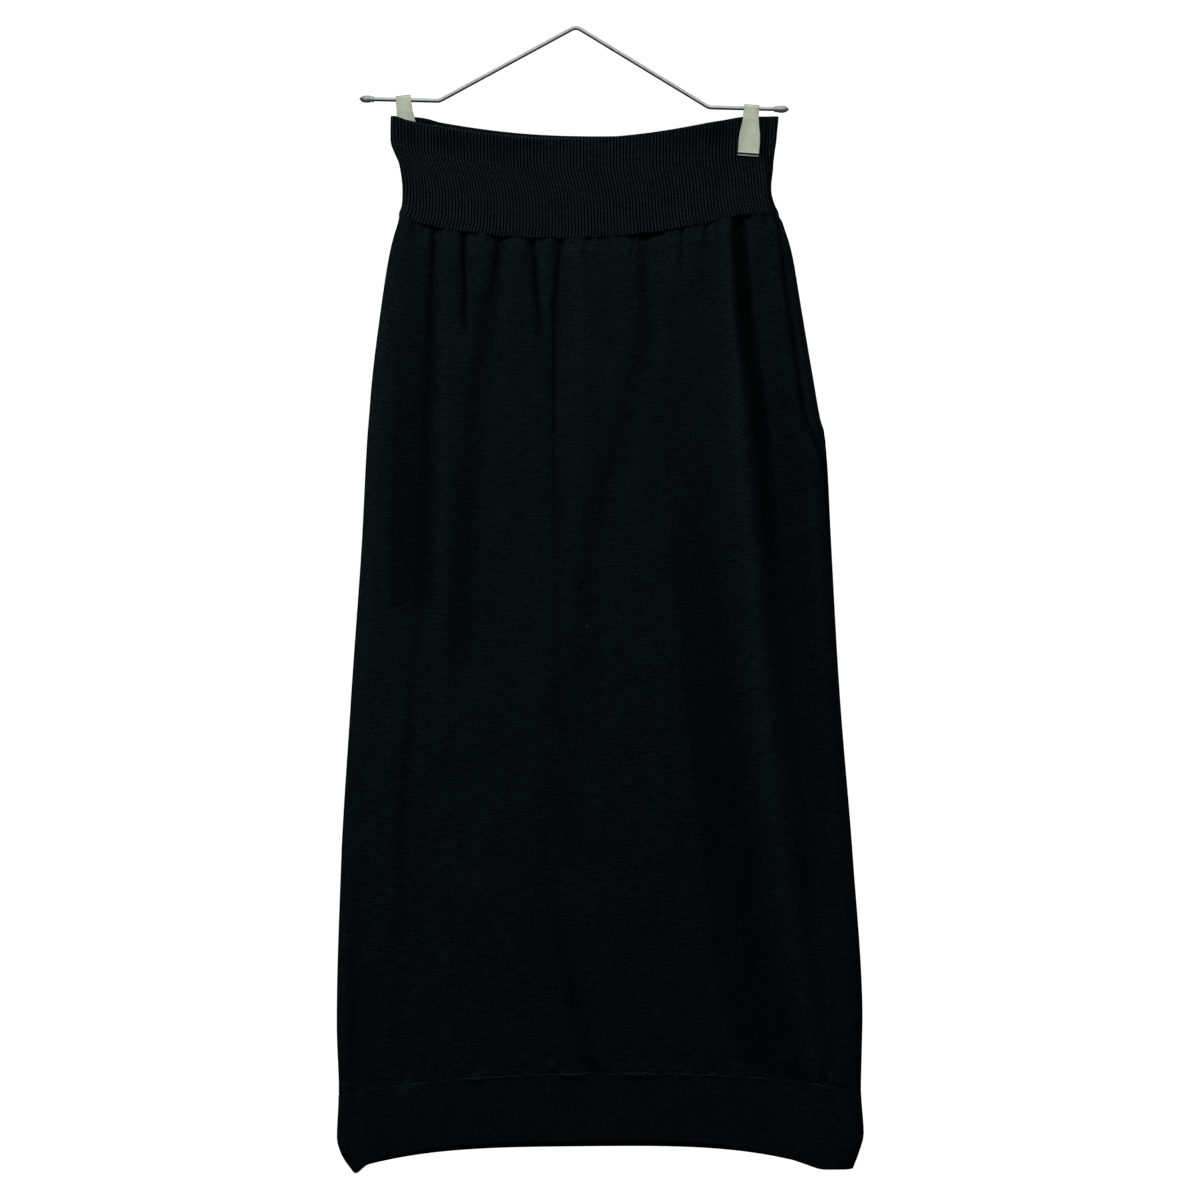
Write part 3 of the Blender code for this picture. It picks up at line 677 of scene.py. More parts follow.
def gathers(side, count):
    """Small uneven gathers under the waistband."""
    draw = np.random.default_rng(DRAWS[side].gathers)
    found = []
    for place in np.linspace(*GATHERED, count):
        strong = draw.uniform(0, 1) ** 2.2
        found.append(
            Gather(
                place + draw.uniform(-2.8, 2.8), draw.uniform(-0.3, 0.3), draw.uniform(1.1, 2.2),
                0.8 + 2.0 * strong, 5.0 + 26 * strong * draw.uniform(0.4, 1.0),
            )
        )
    return found


def overhang(side, x):
    """Where the waistband's edge hangs clear over the cloth below it, from 0 to 1."""
    return sum(
        share * np.exp(-(((x - place) / wide) ** 4)) for place, wide, share in OVERHANGS[side]
    )


def groove(side, x):
    """How deep the seam under the waistband is drawn in along it, from 0 to 1."""
    depth = uneven(DRAWS[side].groove, x, -0.7, 0.75, 5.0)
    if side == "front":
        depth = depth + 0.5 * hump(x, -88, 6) + 0.6 * hump(x, -131, 8)
    depth = depth + overhang(side, x)
    return np.clip(depth, 0.04, 1) * ramp(x, -150, -138) * (1 - ramp(x, 158, 168))


def blisters(side):
    """Small puckers along the hem's seam, and soft dents and swells higher up."""
    draw = np.random.default_rng(DRAWS[side].puckers)
    seam = [
        Blister(
            x + draw.uniform(-2, 2), draw.uniform(1.5, 14.0), draw.uniform(1.8, 4.0),
            draw.uniform(2.5, 9.0), draw.uniform(-1.5, 1.0),
        )
        for x in np.linspace(*PUCKERED, PUCKERS)
    ]
    soft = [
        Blister(
            draw.uniform(-185, 225), draw.uniform(20, 330), draw.uniform(5, 11),
            draw.uniform(10, 30), draw.uniform(-1.7, 1.3),
        )
        for _ in range(DENTS)
    ]
    return seam + soft


def waves(x, drop, side):
    """The soft unevenness of hanging knit, in millimetres outwards."""
    turn = 0.0 if side == "front" else 2.1
    return (
        0.35 * np.sin(x / 17.0 + drop / 61.0 + turn)
        + 0.30 * np.sin(x / 29.0 - drop / 83.0 + 1.3 + turn)
        + 0.22 * np.sin(x / 9.5 + drop / 140.0 + 0.7 * turn)
    )


def cloth_rows(side, drops, columns, relief, wall, crowding=0.0):
    """The outer and inner points of a piece, row by row, and its map and attributes. The inside
    has fewer columns, and follows the outside's shape but not its ribs."""
    # crease gathers each row's painted shade and highlight
    outer, inner, place, crown, crease = [], [], [], [], []
    top, bottom = drops[0], drops[-1]
    for drop in drops:
        along, x, y, hang = ring(drop)
        start, end = piece_span(side, drop, along)
        whole = along[-1]
        around = np.concatenate([along[:-1] - whole, along, along[1:] + whole])

        def read(values, at):
            return np.interp(at, around, np.concatenate([values[:-1], values, values[1:]]))

        share = np.linspace(0, 1, columns + 1)
        share = share - crowding * np.sin(2 * math.pi * share) / (2 * math.pi)
        at = start + (end - start) * share
        run_x = read(x, at + 1.0) - read(x, at - 1.0)
        run_y = read(y, at + 1.0) - read(y, at - 1.0)
        length = np.hypot(run_x, run_y)
        out = np.stack([run_y / length, -run_x / length, np.zeros_like(at)], axis=1)
        base = np.stack([read(x, at), read(y, at), -read(hang, at)], axis=1)

        shape, rise, top_of_rib, painted_shade = relief(share, base[:, 0], drop)
        seam = hump(np.minimum(at - start, end - at), 0, SIDE_GROOVE_WIDE)
        seam = seam * (1 - GROOVE_CALM * float(ramp(drop, GROOVE_CALM_FROM, GROOVE_CALM_TO)))
        rise = rise + shape - SIDE_GROOVE * seam
        # Painted shade along the side seam's groove
        painted_shade = painted_shade + seam
        follow = np.interp(share, share[::COLUMN_STEP], shape[::COLUMN_STEP])
        rise = np.maximum(rise, follow - (wall - THINNEST))
        near = min(drop - top, bottom - drop)
        rounding = EDGE_ROUND - math.sqrt(max(EDGE_ROUND**2 - max(EDGE_ROUND - near, 0) ** 2, 0))
        rounding = rounding * (groove(side, base[:, 0]) if abs(drop - WAIST_SEAM) < 1 else 1.0)
        outer.append(base + out * (rise - rounding)[:, None])
        inner.append(base + out * (follow - wall + rounding)[:, None])
        place.append(np.stack([at * MM, np.full_like(at, -drop * MM)], axis=1))
        crown.append(top_of_rib)
        crease.append(painted_shade)
    return [np.array(values) for values in (outer, inner, place, crown, crease)]


def cloth_piece(name, rows, material, rib_pitch=0.0, ribs=0):
    """A closed sheet: the outer wall, the inner one with fewer columns, and their joined edges."""
    outer, inner, place, crown, crease = rows
    step = COLUMN_STEP
    inner = inner[:, ::step]
    row_count, wide = outer.shape[:2]
    narrow = inner.shape[1]
    if ribs:
        place[:, :, 0] = np.linspace(0, ribs, wide) * rib_pitch
    points = np.concatenate([outer.reshape(-1, 3), inner.reshape(-1, 3)]) * MM
    first = row_count * wide
    faces = []
    for r in range(row_count - 1):
        a, b = r * wide, (r + 1) * wide
        faces += [(a + c, b + c, b + c + 1, a + c + 1) for c in range(wide - 1)]
        d, e = first + r * narrow, first + (r + 1) * narrow
        faces += [(d + c, d + c + 1, e + c + 1, e + c) for c in range(narrow - 1)]
        faces.append((a, d, e, b))
        faces.append((b + wide - 1, e + narrow - 1, d + narrow - 1, a + wide - 1))
    for r, way in ((0, 1), (row_count - 1, -1)):
        for c in range(narrow - 1):
            edge = [r * wide + c * step + k for k in range(step + 1)]
            below = [first + r * narrow + c + 1, first + r * narrow + c]
            faces.append(tuple((edge + below)[::way]))
    mesh = bpy.data.meshes.new(name)
    mesh.from_pydata(points.tolist(), [], faces)
    mesh.shade_smooth()

    corner_points = np.zeros(len(mesh.loops), np.int32)
    mesh.loops.foreach_get("vertex_index", corner_points)
    flat = np.concatenate([place.reshape(-1, 2), place[:, ::step].reshape(-1, 2)])
    mesh.uv_layers.new(name=KNIT_MAP).uv.foreach_set(
        "vector", flat[corner_points].astype(np.float32).ravel()
    )
    # The rib crowns, and the painted shade and highlight, go on as point attributes for the knit
    for label, values in ((RIB_CROWN, crown), (PAINTED_SHADE_ATTRIBUTE, crease)):
        both = np.concatenate([values.ravel(), values[:, ::step].ravel()])
        mesh.attributes.new(label, "FLOAT", "POINT").data.foreach_set(
            "value", both.astype(np.float32)
        )
    obj = bpy.data.objects.new(name, mesh)
    obj.data.materials.append(material)
    bpy.context.scene.collection.objects.link(obj)
    return obj


def spaced_rows(top, bottom, steps):
    """Heights from top to bottom: fine steps near both ends and coarse ones far from them."""
    fine, coarse, reach = steps
    rows = [top]
    while rows[-1] < bottom:
        near = min(rows[-1] - top, bottom - rows[-1])
        rows.append(rows[-1] + fine + (coarse - fine) * float(ramp(near, 0, reach)))
    rows = np.array(rows)
    rows = top + (rows - top) * (bottom - top) / (rows[-1] - top)
    edge = EDGE_ROUND * np.array([0.08, 0.3, 0.62])
    inside = rows[(rows > top + EDGE_ROUND * 0.9) & (rows < bottom - EDGE_ROUND * 0.9)]
    return np.concatenate([[top], top + edge, inside, bottom - edge[::-1], [bottom]]).tolist()


def ribbed(share, x, drop, ribs, rise, vary):
    """The rise of rounded ribs with narrow furrows between them, and where their crowns are."""
    crown = np.abs(np.cos(math.pi * share * ribs))
    return rise * crown * (1 + vary * np.sin(x / 23.0 + drop / 31.0)), crown


class SKIRT_OT_waistband(bpy.types.Operator):
    """Build the two ribbed pieces of the waistband"""

    bl_idname = "skirt.waistband"
    bl_label = "Waistband"

    def execute(self, context):
        s = context.scene.skirt
        rib = knit_material(
            "waist_rib_knit", s.rib_yarn, s.heather, WAIST_WALE, WAIST_COURSE, furrow_shade=0.0
        )
        rows = spaced_rows(WAIST_TOP, WAIST_SEAM, WAIST_STEPS)
        for side in FACES:

            def relief(share, x, drop):
                raised, crown = ribbed(
                    share, x, drop, s.waist_ribs, s.rib_rise / MM, WAIST_RIBS_VARY
                )
                below, near = drop - WAIST_TOP, WAIST_SEAM - drop
                lip = LIP_OUT * math.exp(-near / LIP_OUT_TALL) * groove(side, x)
                curl = CURL * hump(below, 0, CURL_TALL) * ramp(np.abs(x - 20), 0, 80)
                lip = lip + curl * (1 - ramp(np.abs(x), 112, 124))
                # Painted shade below the top edge at the left, and a painted highlight along the
                # top edge
                under = UNDER_EDGE * hump(below, UNDER_EDGE_LOW, UNDER_EDGE_TALL)
                crease = under * (1 - ramp(x, -130, -20))
                crease = crease - EDGE_HIGHLIGHT * hump(below, 0, EDGE_HIGHLIGHT_TALL)
                return lip, raised * float(ramp(near, -0.5, 3.0)), crown, crease

            made = cloth_rows(side, rows, RIB_COLUMNS * s.waist_ribs, relief, s.wall / MM)
            obj = cloth_piece(f"{side}_waist_rib", made, rib, WAIST_WALE, s.waist_ribs)
            stands_for(obj, f"waistband_{side}")
        return {"FINISHED"}


class SKIRT_OT_body(bpy.types.Operator):
    """Build the plain knitted front and back, with their folds, gathers and puckers"""

    bl_idname = "skirt.body"
    bl_label = "Body"

    def execute(self, context):
        s = context.scene.skirt
        plain = knit_material("plain_jersey", s.yarn, s.heather, BODY_WALE, BODY_COURSE)
        rows = spaced_rows(WAIST_SEAM, HEM_SEAM, BODY_STEPS)
        for side in FACES:
            relief = self.relief_of(side, gathers(side, s.gathers), blisters(side))
            made = cloth_rows(side, rows, BODY_COLUMNS, relief, s.wall / MM, CROWDING)
            obj = cloth_piece(f"{side}_body", made, plain)
            stands_for(obj, f"body_{side}")
        return {"FINISHED"}

    def relief_of(self, side, small_gathers, puckers):
        folds = FRONT_FOLDS if side == "front" else BACK_FOLDS

        def relief(share, x, drop):
            below, above = drop - WAIST_SEAM, HEM_SEAM - drop
            shape = waves(x, drop, side) * float(ramp(below, 0, 40) * ramp(above, 0, 30))
            over = overhang(side, x)
            dip = groove(side, x) * hump(below, 0, GROOVE_LOW * (1 + CLEAR_LOW * over))
            shape = shape - (GROOVE_DEEP + CLEAR_DEEP * over) * dip
            puffed = uneven(DRAWS[side].puffs, x, -PUFF, PUFF, 5.0)
            shape = shape + puffed * hump(below, PUFF_LOW, PUFF_TALL)
            # Painted shade in the groove under the waistband, more where its edge hangs clear, and
            # in each gather's trough
            seam_shade = (0.6 + 0.4 * over) * dip
            for g in small_gathers:
                fade = math.exp(-below / g.long) * (0.35 + 0.65 * float(ramp(below, 0, 3.0)))
                if fade > 0.01:
                    aside = np.abs(x - g.x - g.lean * below) / (g.wide * (1 + below / 40))
                    trough, banks = np.exp(-(aside**1.3)), 0.2 * np.exp(-aside / 2.5)
                    shape = shape - g.deep * fade * (trough - banks)
                    seam_shade = seam_shade + 0.3 * g.deep * fade * trough
            for b in puckers:
                fade = float(hump(above, b.up, b.tall) * ramp(above, 0, 2.0))
                if fade > 0.01:
                    shape = shape + b.rise * fade * hump(x, b.x, b.wide)
            # Painted shade in the folds' troughs and a painted highlight on their ridges
            crease = troughs(folds, x, np.full_like(x, drop), shade=True) / FULL_SHADE
            crease = np.clip(crease + seam_shade, -1, 1)
            return shape, np.zeros_like(x), np.full_like(x, PLAIN_CROWN), crease

        return relief


class SKIRT_OT_hem(bpy.types.Operator):
    """Build the two ribbed pieces of the hem, with the linked seam along their top"""

    bl_idname = "skirt.hem"
    bl_label = "Hem"

    def execute(self, context):
        s = context.scene.skirt
        rib = knit_material("hem_rib_knit", s.yarn, s.heather, HEM_WALE, HEM_COURSE, furrow_shade=0.85)
        rows = spaced_rows(HEM_SEAM, HEM_END, HEM_STEPS)
        for side in FACES:

            def relief(share, x, drop):
                raised, crown = ribbed(
                    share, x, drop, s.hem_ribs, s.hem_rib_rise / MM, HEM_RIBS_VARY
                )
                below = drop - HEM_SEAM
                welt = np.maximum(uneven(DRAWS[side].welts, x, -0.5, 1.0, 7.0), 0.15)
                welt = welt * ramp(x, -170, -150) * (1 - ramp(x, 148, 168))
                welt = welt * hump(below, WELT_LOW, WELT_TALL)
                for bump in WELTS if side == "front" else ():
                    low = hump(below, BUMP_LOW, bump.tall)
                    welt = np.maximum(welt, bump.rise * hump(x, bump.x, bump.wide) * low)
                # A painted highlight on the welt, stronger where it stands out
                crease = np.clip(-WELT_HIGHLIGHT * welt, -2, 1)
                return np.zeros_like(x), raised + welt, crown, crease

            made = cloth_rows(side, rows, RIB_COLUMNS * s.hem_ribs, relief, s.wall / MM)
            obj = cloth_piece(f"{side}_hem_rib", made, rib, HEM_WALE, s.hem_ribs)
            stands_for(obj, f"hem_{side}")
        return {"FINISHED"}


# ---- Hanger ----

WIRE_SIDES, STRAIGHT_STEPS, BEND_STEPS, LOOP_STEPS = 28, 4, 10, 14
BEAD_END = 1.2  # what the nib adds to the bead's length
COLLAR_FROM, COLLAR = 0.62, 2.45  # of half a bead, and its radius
MOUTH_FROM, MOUTH = 0.9, 2.0
NIB_FROM, NIB_DRAWN, NIB_KEEPS = 0.80, 0.35, 0.9
LIP_EDGE = 0.8  # the bare metal at a clip's lips, below the painted lip shade
PLATE_FOOT = LIP_TALL + 0.5  # where a clip's plate begins, above its lip
PLATE_TOP = 6.5  # and where it ends, below the loop
CLIP_WIDEST = 0.66 * CLIP_LONG
PANEL_RIM, PANEL_DEEP = 1.1, 0.35  # the pressed panel of each plate


def deselect():
    for obj in bpy.context.selected_objects:
        obj.select_set(False)


def edit(mode):
    """Opens the active piece in edit mode with nothing selected."""
    bpy.ops.object.mode_set(mode="EDIT")
    bpy.ops.mesh.select_mode(type=mode)
    bpy.ops.mesh.select_all(action="DESELECT")


def leave_edit():
    bpy.ops.object.mode_set(mode="OBJECT")


def select_where(elements, test):
    """Selects the active mesh's elements that pass a test, in edit mode."""
    shape = bmesh.from_edit_mesh(bpy.context.object.data)
    for element in getattr(shape, elements):
        if test(element):
            element.select_set(True)
    shape.select_flush_mode()
    bmesh.update_edit_mesh(bpy.context.object.data)


def apply_modifier(kind, **settings):
    modifier = bpy.context.object.modifiers.new(kind.lower(), kind)
    for key, value in settings.items():
        setattr(modifier, key, value)
    bpy.ops.object.modifier_apply(modifier=modifier.name)


def on_hanger(move, lean):
    """The turn and move to a place on the bar, with the hanger's own lean."""
    at_bar = Matrix.Translation(Vector(move) * MM) @ Matrix.Rotation(lean, 4, "Y")
    return Matrix.Rotation(HANGER_LEAN, 4, "Y") @ at_bar


def hung(obj, move=(0.0, 0.0, 0.0), lean=0.0):
    """Puts a piece at its place on the hanger, in its own mesh."""
    obj.data.transform(on_hanger(move, lean))
    obj.data.update()


def finished(obj, name, material, node, smooth=math.radians(35)):
    """Names a piece, gives it its material and shading, and puts it in its node's place."""
    obj.name = obj.data.name = name
    obj.data.materials.clear()
    obj.data.materials.append(material)
    bpy.ops.object.shade_smooth_by_angle(angle=smooth)
    stands_for(obj, node)


class HANGER_OT_wire(bpy.types.Operator):
    """Bend the hanger from one round wire"""

    bl_idname = "hanger.wire"
    bl_label = "Wire"

    def execute(self, context):
        s = context.scene.hanger
        radius = s.wire / MM / 2
        roof = ROOF_FALL + radius
        roof += PEAK_BEND * (1 / math.cos(math.atan2(roof, KNEE_OUT)) - 1)
        slope = math.atan2(roof, KNEE_OUT)
        cut = KNEE_BEND * math.tan(slope / 2)
        run = math.hypot(KNEE_OUT, roof) - cut - PEAK_BEND * math.tan(slope)
        up = Vector((math.cos(slope), 0, math.sin(slope)))
        down = Vector((math.cos(slope), 0, -math.sin(slope)))
        level, arm = Vector((1, 0, 0)), HANGER_HALF - KNEE_OUT - cut

        deselect()
        bpy.ops.mesh.primitive_circle_add(
            vertices=WIRE_SIDES, radius=radius * MM, rotation=(0, math.pi / 2, 0),
            location=(-HANGER_HALF * MM, 0, -ROOF_FALL * MM),
        )
        bpy.ops.object.transform_apply(location=True, rotation=True)
        edit("EDGE")
        bpy.ops.mesh.select_all(action="SELECT")
        at = self.lengthen(Vector((-HANGER_HALF, 0, -ROOF_FALL)), level, arm)
        at = self.bend(at, Vector((0, 0, 1)), KNEE_BEND, -slope)
        at = self.lengthen(at, up, run)
        at = self.bend(at, Vector((up.z, 0, -up.x)), PEAK_BEND, 2 * slope)
        at = self.lengthen(at, down, run)
        at = self.bend(at, Vector((-down.z, 0, down.x)), KNEE_BEND, -slope)
        self.lengthen(at, level, arm)
        bpy.ops.mesh.select_all(action="SELECT")
        bpy.ops.mesh.remove_doubles(threshold=1e-6)
        bpy.ops.mesh.fill_holes(sides=0)
        bpy.ops.mesh.normals_make_consistent(inside=False)
        leave_edit()
        obj = context.object
        hung(obj)
        steel = metal_material(
            "drawn_steel", s.steel, roughness=0.30, grain_scale=(500.0, 2600.0, 2600.0),
            grain=0.00004,
        )
        finished(obj, "bent_wire", steel, "hanger_wire", math.radians(50))
        return {"FINISHED"}

    def lengthen(self, at, way, length):
        """Draws the selected end of the wire on, in a few straight lengths."""
        for _ in range(STRAIGHT_STEPS):
            bpy.ops.mesh.extrude_region_move(
                TRANSFORM_OT_translate={"value": way * length / STRAIGHT_STEPS * MM}
            )
        return at + way * length

    def bend(self, at, towards, radius, angle):
        """Bends the selected end about a centre that lies towards a side of it."""
        centre = at + towards * radius
        bpy.ops.mesh.spin(steps=BEND_STEPS, angle=-angle, center=centre * MM, axis=(0, 1, 0))
        return centre + Matrix.Rotation(angle, 3, "Y") @ (at - centre)


class HANGER_OT_beads(bpy.types.Operator):
    """Cast the two oval beads on the wire's ends"""

    bl_idname = "hanger.beads"
    bl_label = "Beads"

    def execute(self, context):
        s = context.scene.hanger
        cast = metal_material(
            "cast_steel", s.steel, roughness=0.55, grain_scale=(700.0, 700.0, 700.0), grain=0.00016,
            mottle=0.3,
        )
        skin = bpy.data.textures.new("bead_skin", "CLOUDS")
        skin.noise_scale = 0.0016
        inner_end = HANGER_HALF - BEAD_SOCKET + FIT
        for name, side in (("right", 1), ("left", -1)):
            deselect()
            bpy.ops.mesh.primitive_uv_sphere_add(
                segments=32, ring_count=20, radius=BEAD_THICK / 2 * MM,
                rotation=(0, side * math.pi / 2, 0),
            )
            bpy.ops.object.transform_apply(rotation=True)
            stretch = (BEAD_LONG - BEAD_END) / BEAD_THICK
            edit("VERT")
            bpy.ops.mesh.select_all(action="SELECT")
            bpy.ops.transform.resize(value=(stretch, 1, 1))
            leave_edit()
            self.shape(context.object.data, side)
            apply_modifier(
                "DISPLACE", texture=skin, texture_coords="LOCAL", strength=0.0006, mid_level=0.5
            )
            hung(context.object, (side * (inner_end + BEAD_LONG / 2), 0, -ROOF_FALL))
            finished(context.object, f"cast_bead_{name}", cast, f"bead_{name}")
        return {"FINISHED"}

    def shape(self, mesh, side):
        """Squares the bead's mouth into a collar and draws a nib from its tip."""
        half = BEAD_LONG / 2 * MM
        for point in mesh.vertices:
            way = side * point.co.x
            out = math.hypot(point.co.y, point.co.z)
            if way < -COLLAR_FROM * half and out > 1e-7:
                wide = (COLLAR if way > -MOUTH_FROM * half else MOUTH) * MM
                point.co.y, point.co.z = point.co.y * wide / out, point.co.z * wide / out
            if way > NIB_FROM * half:
                point.co.x = side * (way + (way - NIB_FROM * half) * NIB_DRAWN)
                point.co.y, point.co.z = point.co.y * NIB_KEEPS, point.co.z * NIB_KEEPS


class HANGER_OT_clips(bpy.types.Operator):
    """Bend the two clips from strips of satin sheet metal"""

    bl_idname = "hanger.clips"
    bl_label = "Clips"

    def execute(self, context):
        s = context.scene.hanger
        plated = metal_material(
            "satin_plating", s.plating, roughness=0.40, grain_scale=(260.0, 260.0, 2600.0),
            grain=0.00003,
        )
        lip_shade = lip_shade_material()
        for spec in (RIGHT_CLIP, LEFT_CLIP):
            lean = math.radians(spec.lean)
            loop = WIRE / 2 + FIT + CLIP_TOP_WIDE / 2 * math.tan(abs(lean))
            foot = loop - CLIP_LONG
            self.strip(self.path(spec, loop, foot), foot)
            self.press_panels(foot, loop)
            apply_modifier("SOLIDIFY", thickness=s.sheet, offset=1.0, use_even_offset=True)
            apply_modifier("BEVEL", width=0.00016, segments=2, limit_method="ANGLE")
            hung(context.object, (spec.out, 0, -ROOF_FALL), lean)
            piece = f"sprung_{spec.name}"
            finished(context.object, piece, plated, spec.name, math.radians(25))
            self.paint_lip_shade(context.object, lip_shade, lean, spec.out, foot)
        return {"FINISHED"}

    def paint_lip_shade(self, obj, lip_shade, lean, out, foot):
        """Gives the recessed faces above both lips their near-black painted shade."""
        obj.data.materials.append(lip_shade)
        upright = on_hanger((out, 0, -ROOF_FALL), lean).inverted()
        for face in obj.data.polygons:
            up = (upright @ face.center).z / MM - foot
            face.material_index = int(LIP_EDGE < up < PLATE_FOOT)

    def path(self, spec, loop, foot):
        """The strip's inner line from the front lip, up, over the bar, and down to the back lip."""

        def leg(face, way):
            lip = face + way * FIT
            plate = lip + way * LIP_STEP
            plate_rows = (PLATE_FOOT, 4.2, 11.0, CLIP_LONG * 0.45, CLIP_LONG * 0.6)
            return [
                *((lip, foot + up) for up in (0.0, LIP_EDGE, LIP_TALL)),
                *((plate, foot + up) for up in plate_rows),
                (lip + way * 0.8 * LIP_STEP, -loop - PLATE_TOP),
            ]

        arc = [math.pi - math.pi * step / LOOP_STEPS for step in range(LOOP_STEPS + 1)]
        over = [(loop * math.cos(a), loop * math.sin(a)) for a in arc]
        return leg(spec.y0, -1) + over + leg(spec.y1, 1)[::-1]

    def half_width(self, z, foot):
        """Half the strip's width at a height: narrow over the bar and widest above the lips."""
        widest = -CLIP_WIDEST
        if z > widest:
            share = float(ramp(z, widest, -0.1 * CLIP_LONG))
            return (CLIP_WIDE + (CLIP_TOP_WIDE - CLIP_WIDE) * share) / 2
        return (CLIP_WIDE + (CLIP_FOOT_WIDE - CLIP_WIDE) * (widest - z) / (widest - foot)) / 2

    def strip(self, path, foot):
        """Draws an edge along the path, wider and narrower with the clip."""
        deselect()
        (y0, z0), (y1, z1) = path[:2]
        bpy.ops.mesh.primitive_plane_add(size=1.0)
        mesh = bpy.context.object.data
        for point in mesh.vertices:
            y, z = (y1, z1) if point.co.y > 0 else (y0, z0)
            wide = self.half_width(z, foot)
            point.co = Vector((math.copysign(wide, point.co.x), y, z)) * MM
        edit("EDGE")
        end = Vector((0, y1, z1)) * MM

        def at_end(point):
            return (point.co - end).length < 0.012 and abs(point.co.z - end.z) < 1e-7

        select_where("edges", lambda e: all(at_end(v) for v in e.verts))
        for (y0, z0), (y1, z1) in zip(path[1:], path[2:]):
            bpy.ops.mesh.extrude_region_move(
                TRANSFORM_OT_translate={"value": Vector((0, y1 - y0, z1 - z0)) * MM}
            )
            grow = self.half_width(z1, foot) / self.half_width(z0, foot)
            bpy.ops.transform.resize(value=(grow, 1, 1))
        bpy.ops.mesh.select_all(action="SELECT")
        bpy.ops.mesh.normals_make_consistent(inside=False)
        leave_edit()

    def press_panels(self, foot, loop):
        """Presses the middle of both plates in, which leaves a raised rim round each."""
        low, high = (foot + PLATE_FOOT) * MM, (0.1 - loop - PLATE_TOP) * MM
        for way in (-1, 1):
            edit("FACE")
            select_where(
                "faces",
                lambda f: way * f.calc_center_median().y > 0
                and all(low - 1e-7 < v.co.z < high + 1e-7 for v in f.verts),
            )
            bpy.ops.mesh.inset(thickness=PANEL_RIM * MM, depth=0.0, use_boundary=True)
            bpy.ops.transform.translate(value=(0, -way * PANEL_DEEP * MM, 0))
            leave_edit()


# ---- Studio ----

FLOOR = -3.4  # far enough down for a look at the hem from below
HALL = 5.0  # radius of the round hall
WALL_TALL = 9.0
COVE = 1.2  # radius of the curve between its floor and its wall
COVE_STEPS = 12
VIEW_WIDE = 0.99  # what the camera takes in at the skirt
VIEW_MIDDLE = (0.0198, -0.47025)
AIR = ((0.0, 0.10), (0.42, 0.25), (0.52, 0.45), (0.75, 0.7), (1.0, 1.0))  # from below to above
AIR_STRENGTH = 0.24

# Each lamp's power is its share of the key's or of the cards' power
Lamp = namedtuple("Lamp", "name place target size share")
LIGHTS = (
    Lamp("key", (-0.9, -0.9, 1.0), (0.0, 0.0, -0.30), (1.4, 0.8), 1.0),
    Lamp("fill", (1.3, -1.0, 0.9), (0.0, 0.0, -0.35), (1.2, 1.2), 0.28),
    Lamp("rear", (0.5, 1.0, 1.0), (0.0, 0.0, -0.35), (1.6, 0.9), 0.8),
)
CARDS = (
    Lamp("card_front", (0.0, -2.6, 0.5), (0.0, 0.0, 0.0), (3.4, 2.2), 1.0),
    Lamp("card_top", (0.0, -0.6, 2.2), (0.0, 0.0, 0.0), (3.4, 2.6), 1.4),
    Lamp("card_rear", (0.0, 2.6, 0.9), (0.0, 0.0, 0.0), (3.4, 2.2), 0.8),
)


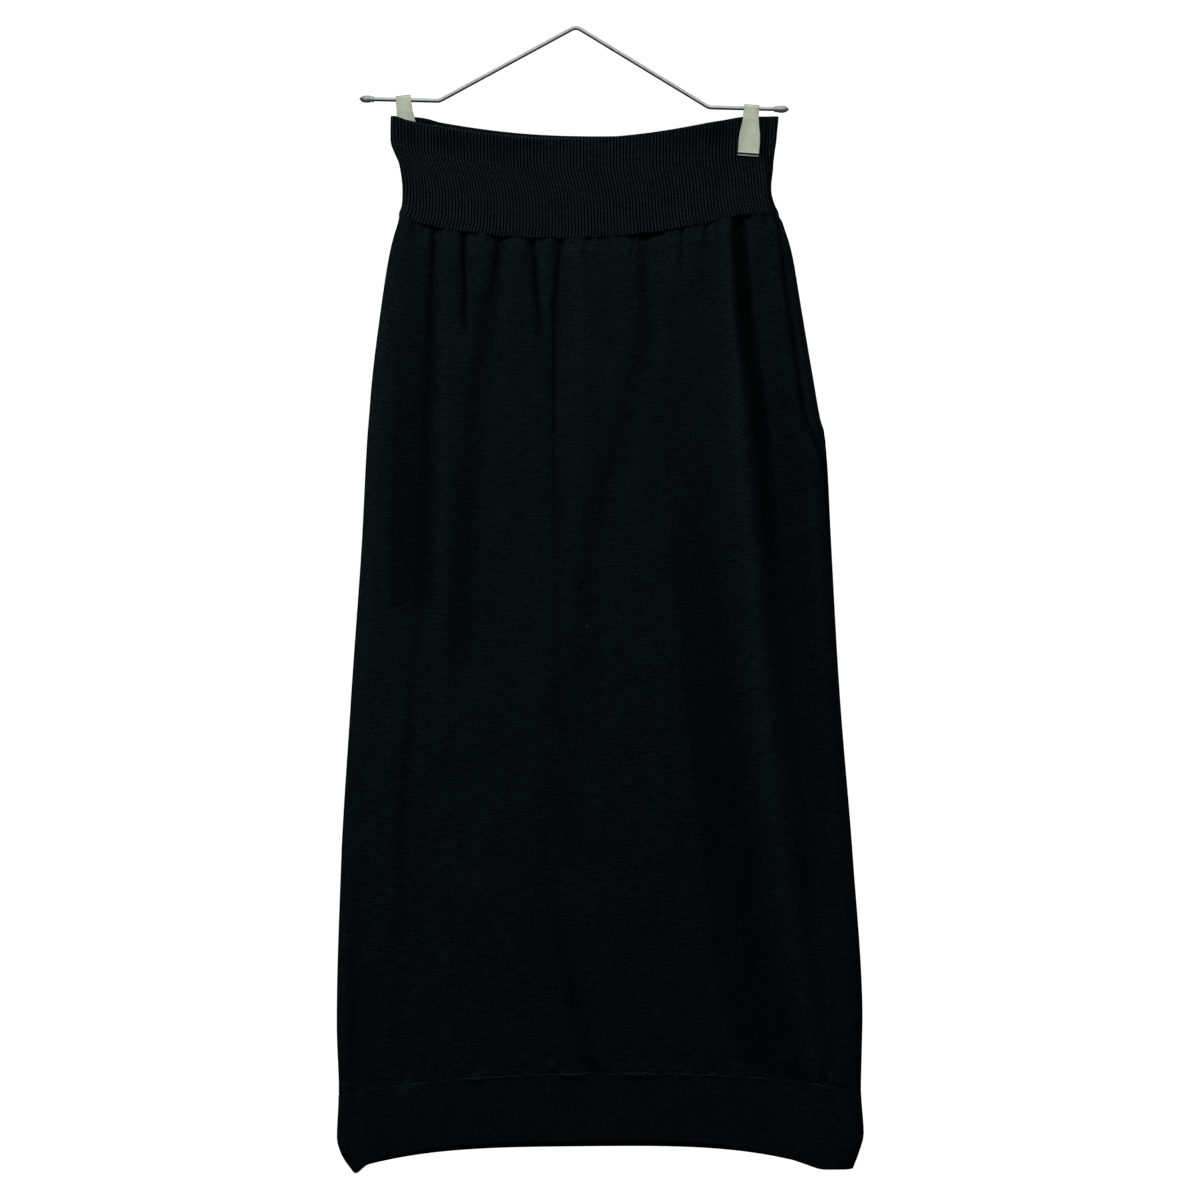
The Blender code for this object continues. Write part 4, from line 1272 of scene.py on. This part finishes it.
class SKIRT_OT_studio(bpy.types.Operator):
    """Set up the pale studio, its soft light and the camera"""

    bl_idname = "skirt.studio"
    bl_label = "Studio"

    def execute(self, context):
        s = context.scene.studio
        self.hall(s.backdrop)
        self.world()
        for lamp in LIGHTS:
            self.light(lamp, s.key_power).visible_glossy = False
        for card in CARDS:
            self.light(card, s.card_power).visible_diffuse = False
        self.camera(s.camera_away)
        return {"FINISHED"}

    def hall(self, colour):
        """A round floor that curves up into a wall, turned from its profile."""
        deselect()
        bpy.ops.mesh.primitive_circle_add(
            vertices=96, radius=HALL - COVE, fill_type="NGON", location=(0, 0, FLOOR)
        )
        bpy.ops.object.transform_apply(location=True)
        edit("EDGE")
        bpy.ops.mesh.select_all(action="SELECT")
        bpy.ops.mesh.region_to_loop()
        reach = HALL - COVE
        for step in range(1, COVE_STEPS + 1):
            turn = math.pi / 2 * step / COVE_STEPS
            before = math.pi / 2 * (step - 1) / COVE_STEPS
            rise = COVE * (math.cos(before) - math.cos(turn))
            wider = HALL - COVE + COVE * math.sin(turn)
            bpy.ops.mesh.extrude_region_move(TRANSFORM_OT_translate={"value": (0, 0, rise)})
            bpy.ops.transform.resize(value=(wider / reach, wider / reach, 1))
            reach = wider
        bpy.ops.mesh.extrude_region_move(TRANSFORM_OT_translate={"value": (0, 0, WALL_TALL)})
        leave_edit()
        obj = bpy.context.object
        obj.name = obj.data.name = "studio_hall"
        bpy.ops.object.shade_smooth()
        paint = bpy.data.materials.new("studio_paint")
        Nodes(paint).set(
            Base_Color=(*colour, 1.0), Roughness=1.0, Specular_IOR_Level=0.0,
            Emission_Color=(1.0, 1.0, 1.0, 1.0), Emission_Strength=0.9,
        )
        obj.data.materials.append(paint)
        obj.visible_diffuse = False
        obj.visible_glossy = False

    def world(self):
        """Light from a pale ceiling that falls off towards the floor."""
        world = bpy.data.worlds.new("studio_air")
        bpy.context.scene.world = world
        n = Nodes(world, "Background")
        way = n.add("TexCoord").outputs["Generated"]
        height = n.span(n.add("SeparateXYZ", {0: way}).outputs["Z"], -1.0, 1.0)
        shade = n.add("ValToRGB", {0: height})
        while len(shade.color_ramp.elements) < len(AIR):
            shade.color_ramp.elements.new(0.5)
        for element, (at, value) in zip(shade.color_ramp.elements, AIR):
            element.position = at
            element.color = (0.75 * value, value, value, 1.0)
        n.set(Color=shade.outputs[0], Strength=AIR_STRENGTH)

    def light(self, lamp, power):
        """Hangs a soft lamp that looks at its target."""
        data = bpy.data.lights.new(f"studio_{lamp.name}", "AREA")
        data.shape = "RECTANGLE"
        data.size, data.size_y = lamp.size
        data.energy = power * lamp.share
        obj = bpy.data.objects.new(f"studio_{lamp.name}", data)
        obj.location = lamp.place
        way = Vector(lamp.target) - Vector(lamp.place)
        obj.rotation_euler = way.to_track_quat("-Z", "Y").to_euler()
        obj.visible_camera = False
        bpy.context.scene.collection.objects.link(obj)
        return obj

    def camera(self, away):
        """The photo's level view, from straight in front."""
        data = bpy.data.cameras.new("camera")
        data.sensor_width = 36.0
        data.lens = data.sensor_width * away / VIEW_WIDE
        data.clip_end = 50.0
        obj = bpy.data.objects.new("camera", data)
        obj.location = (VIEW_MIDDLE[0], -away, VIEW_MIDDLE[1])
        obj.rotation_euler = (math.pi / 2, 0, 0)
        bpy.context.scene.collection.objects.link(obj)
        bpy.context.scene.camera = obj


# ---- Panel and registration ----

OPERATORS = (
    SKIRT_OT_waistband, SKIRT_OT_body, SKIRT_OT_hem, HANGER_OT_wire, HANGER_OT_beads,
    HANGER_OT_clips, SKIRT_OT_studio,
)
SETTINGS = (("skirt", SkirtSettings), ("hanger", HangerSettings), ("studio", StudioSettings))


class VIEW3D_PT_skirt(bpy.types.Panel):
    """Lists the settings and the pieces"""

    bl_label = "Pencil skirt"
    bl_space_type = "VIEW_3D"
    bl_region_type = "UI"
    bl_category = "Skirt"

    def draw(self, context):
        for name, group in SETTINGS:
            box = self.layout.box()
            for key in group.__annotations__:
                box.prop(getattr(context.scene, name), key)
        for operator in OPERATORS:
            self.layout.operator(operator.bl_idname)


CLASSES = (*(group for _, group in SETTINGS), *OPERATORS, VIEW3D_PT_skirt)


def register():
    for cls in CLASSES:
        bpy.utils.register_class(cls)
    for name, group in SETTINGS:
        setattr(bpy.types.Scene, name, PointerProperty(type=group))


def unregister():
    for name, _ in SETTINGS:
        delattr(bpy.types.Scene, name)
    for cls in reversed(CLASSES):
        bpy.utils.unregister_class(cls)


def main():
    register()
    bpy.context.scene.view_settings.view_transform = "Standard"
    for operator in OPERATORS:
        group, name = operator.bl_idname.split(".")
        getattr(getattr(bpy.ops, group), name)()


if __name__ == "__main__":
    main()
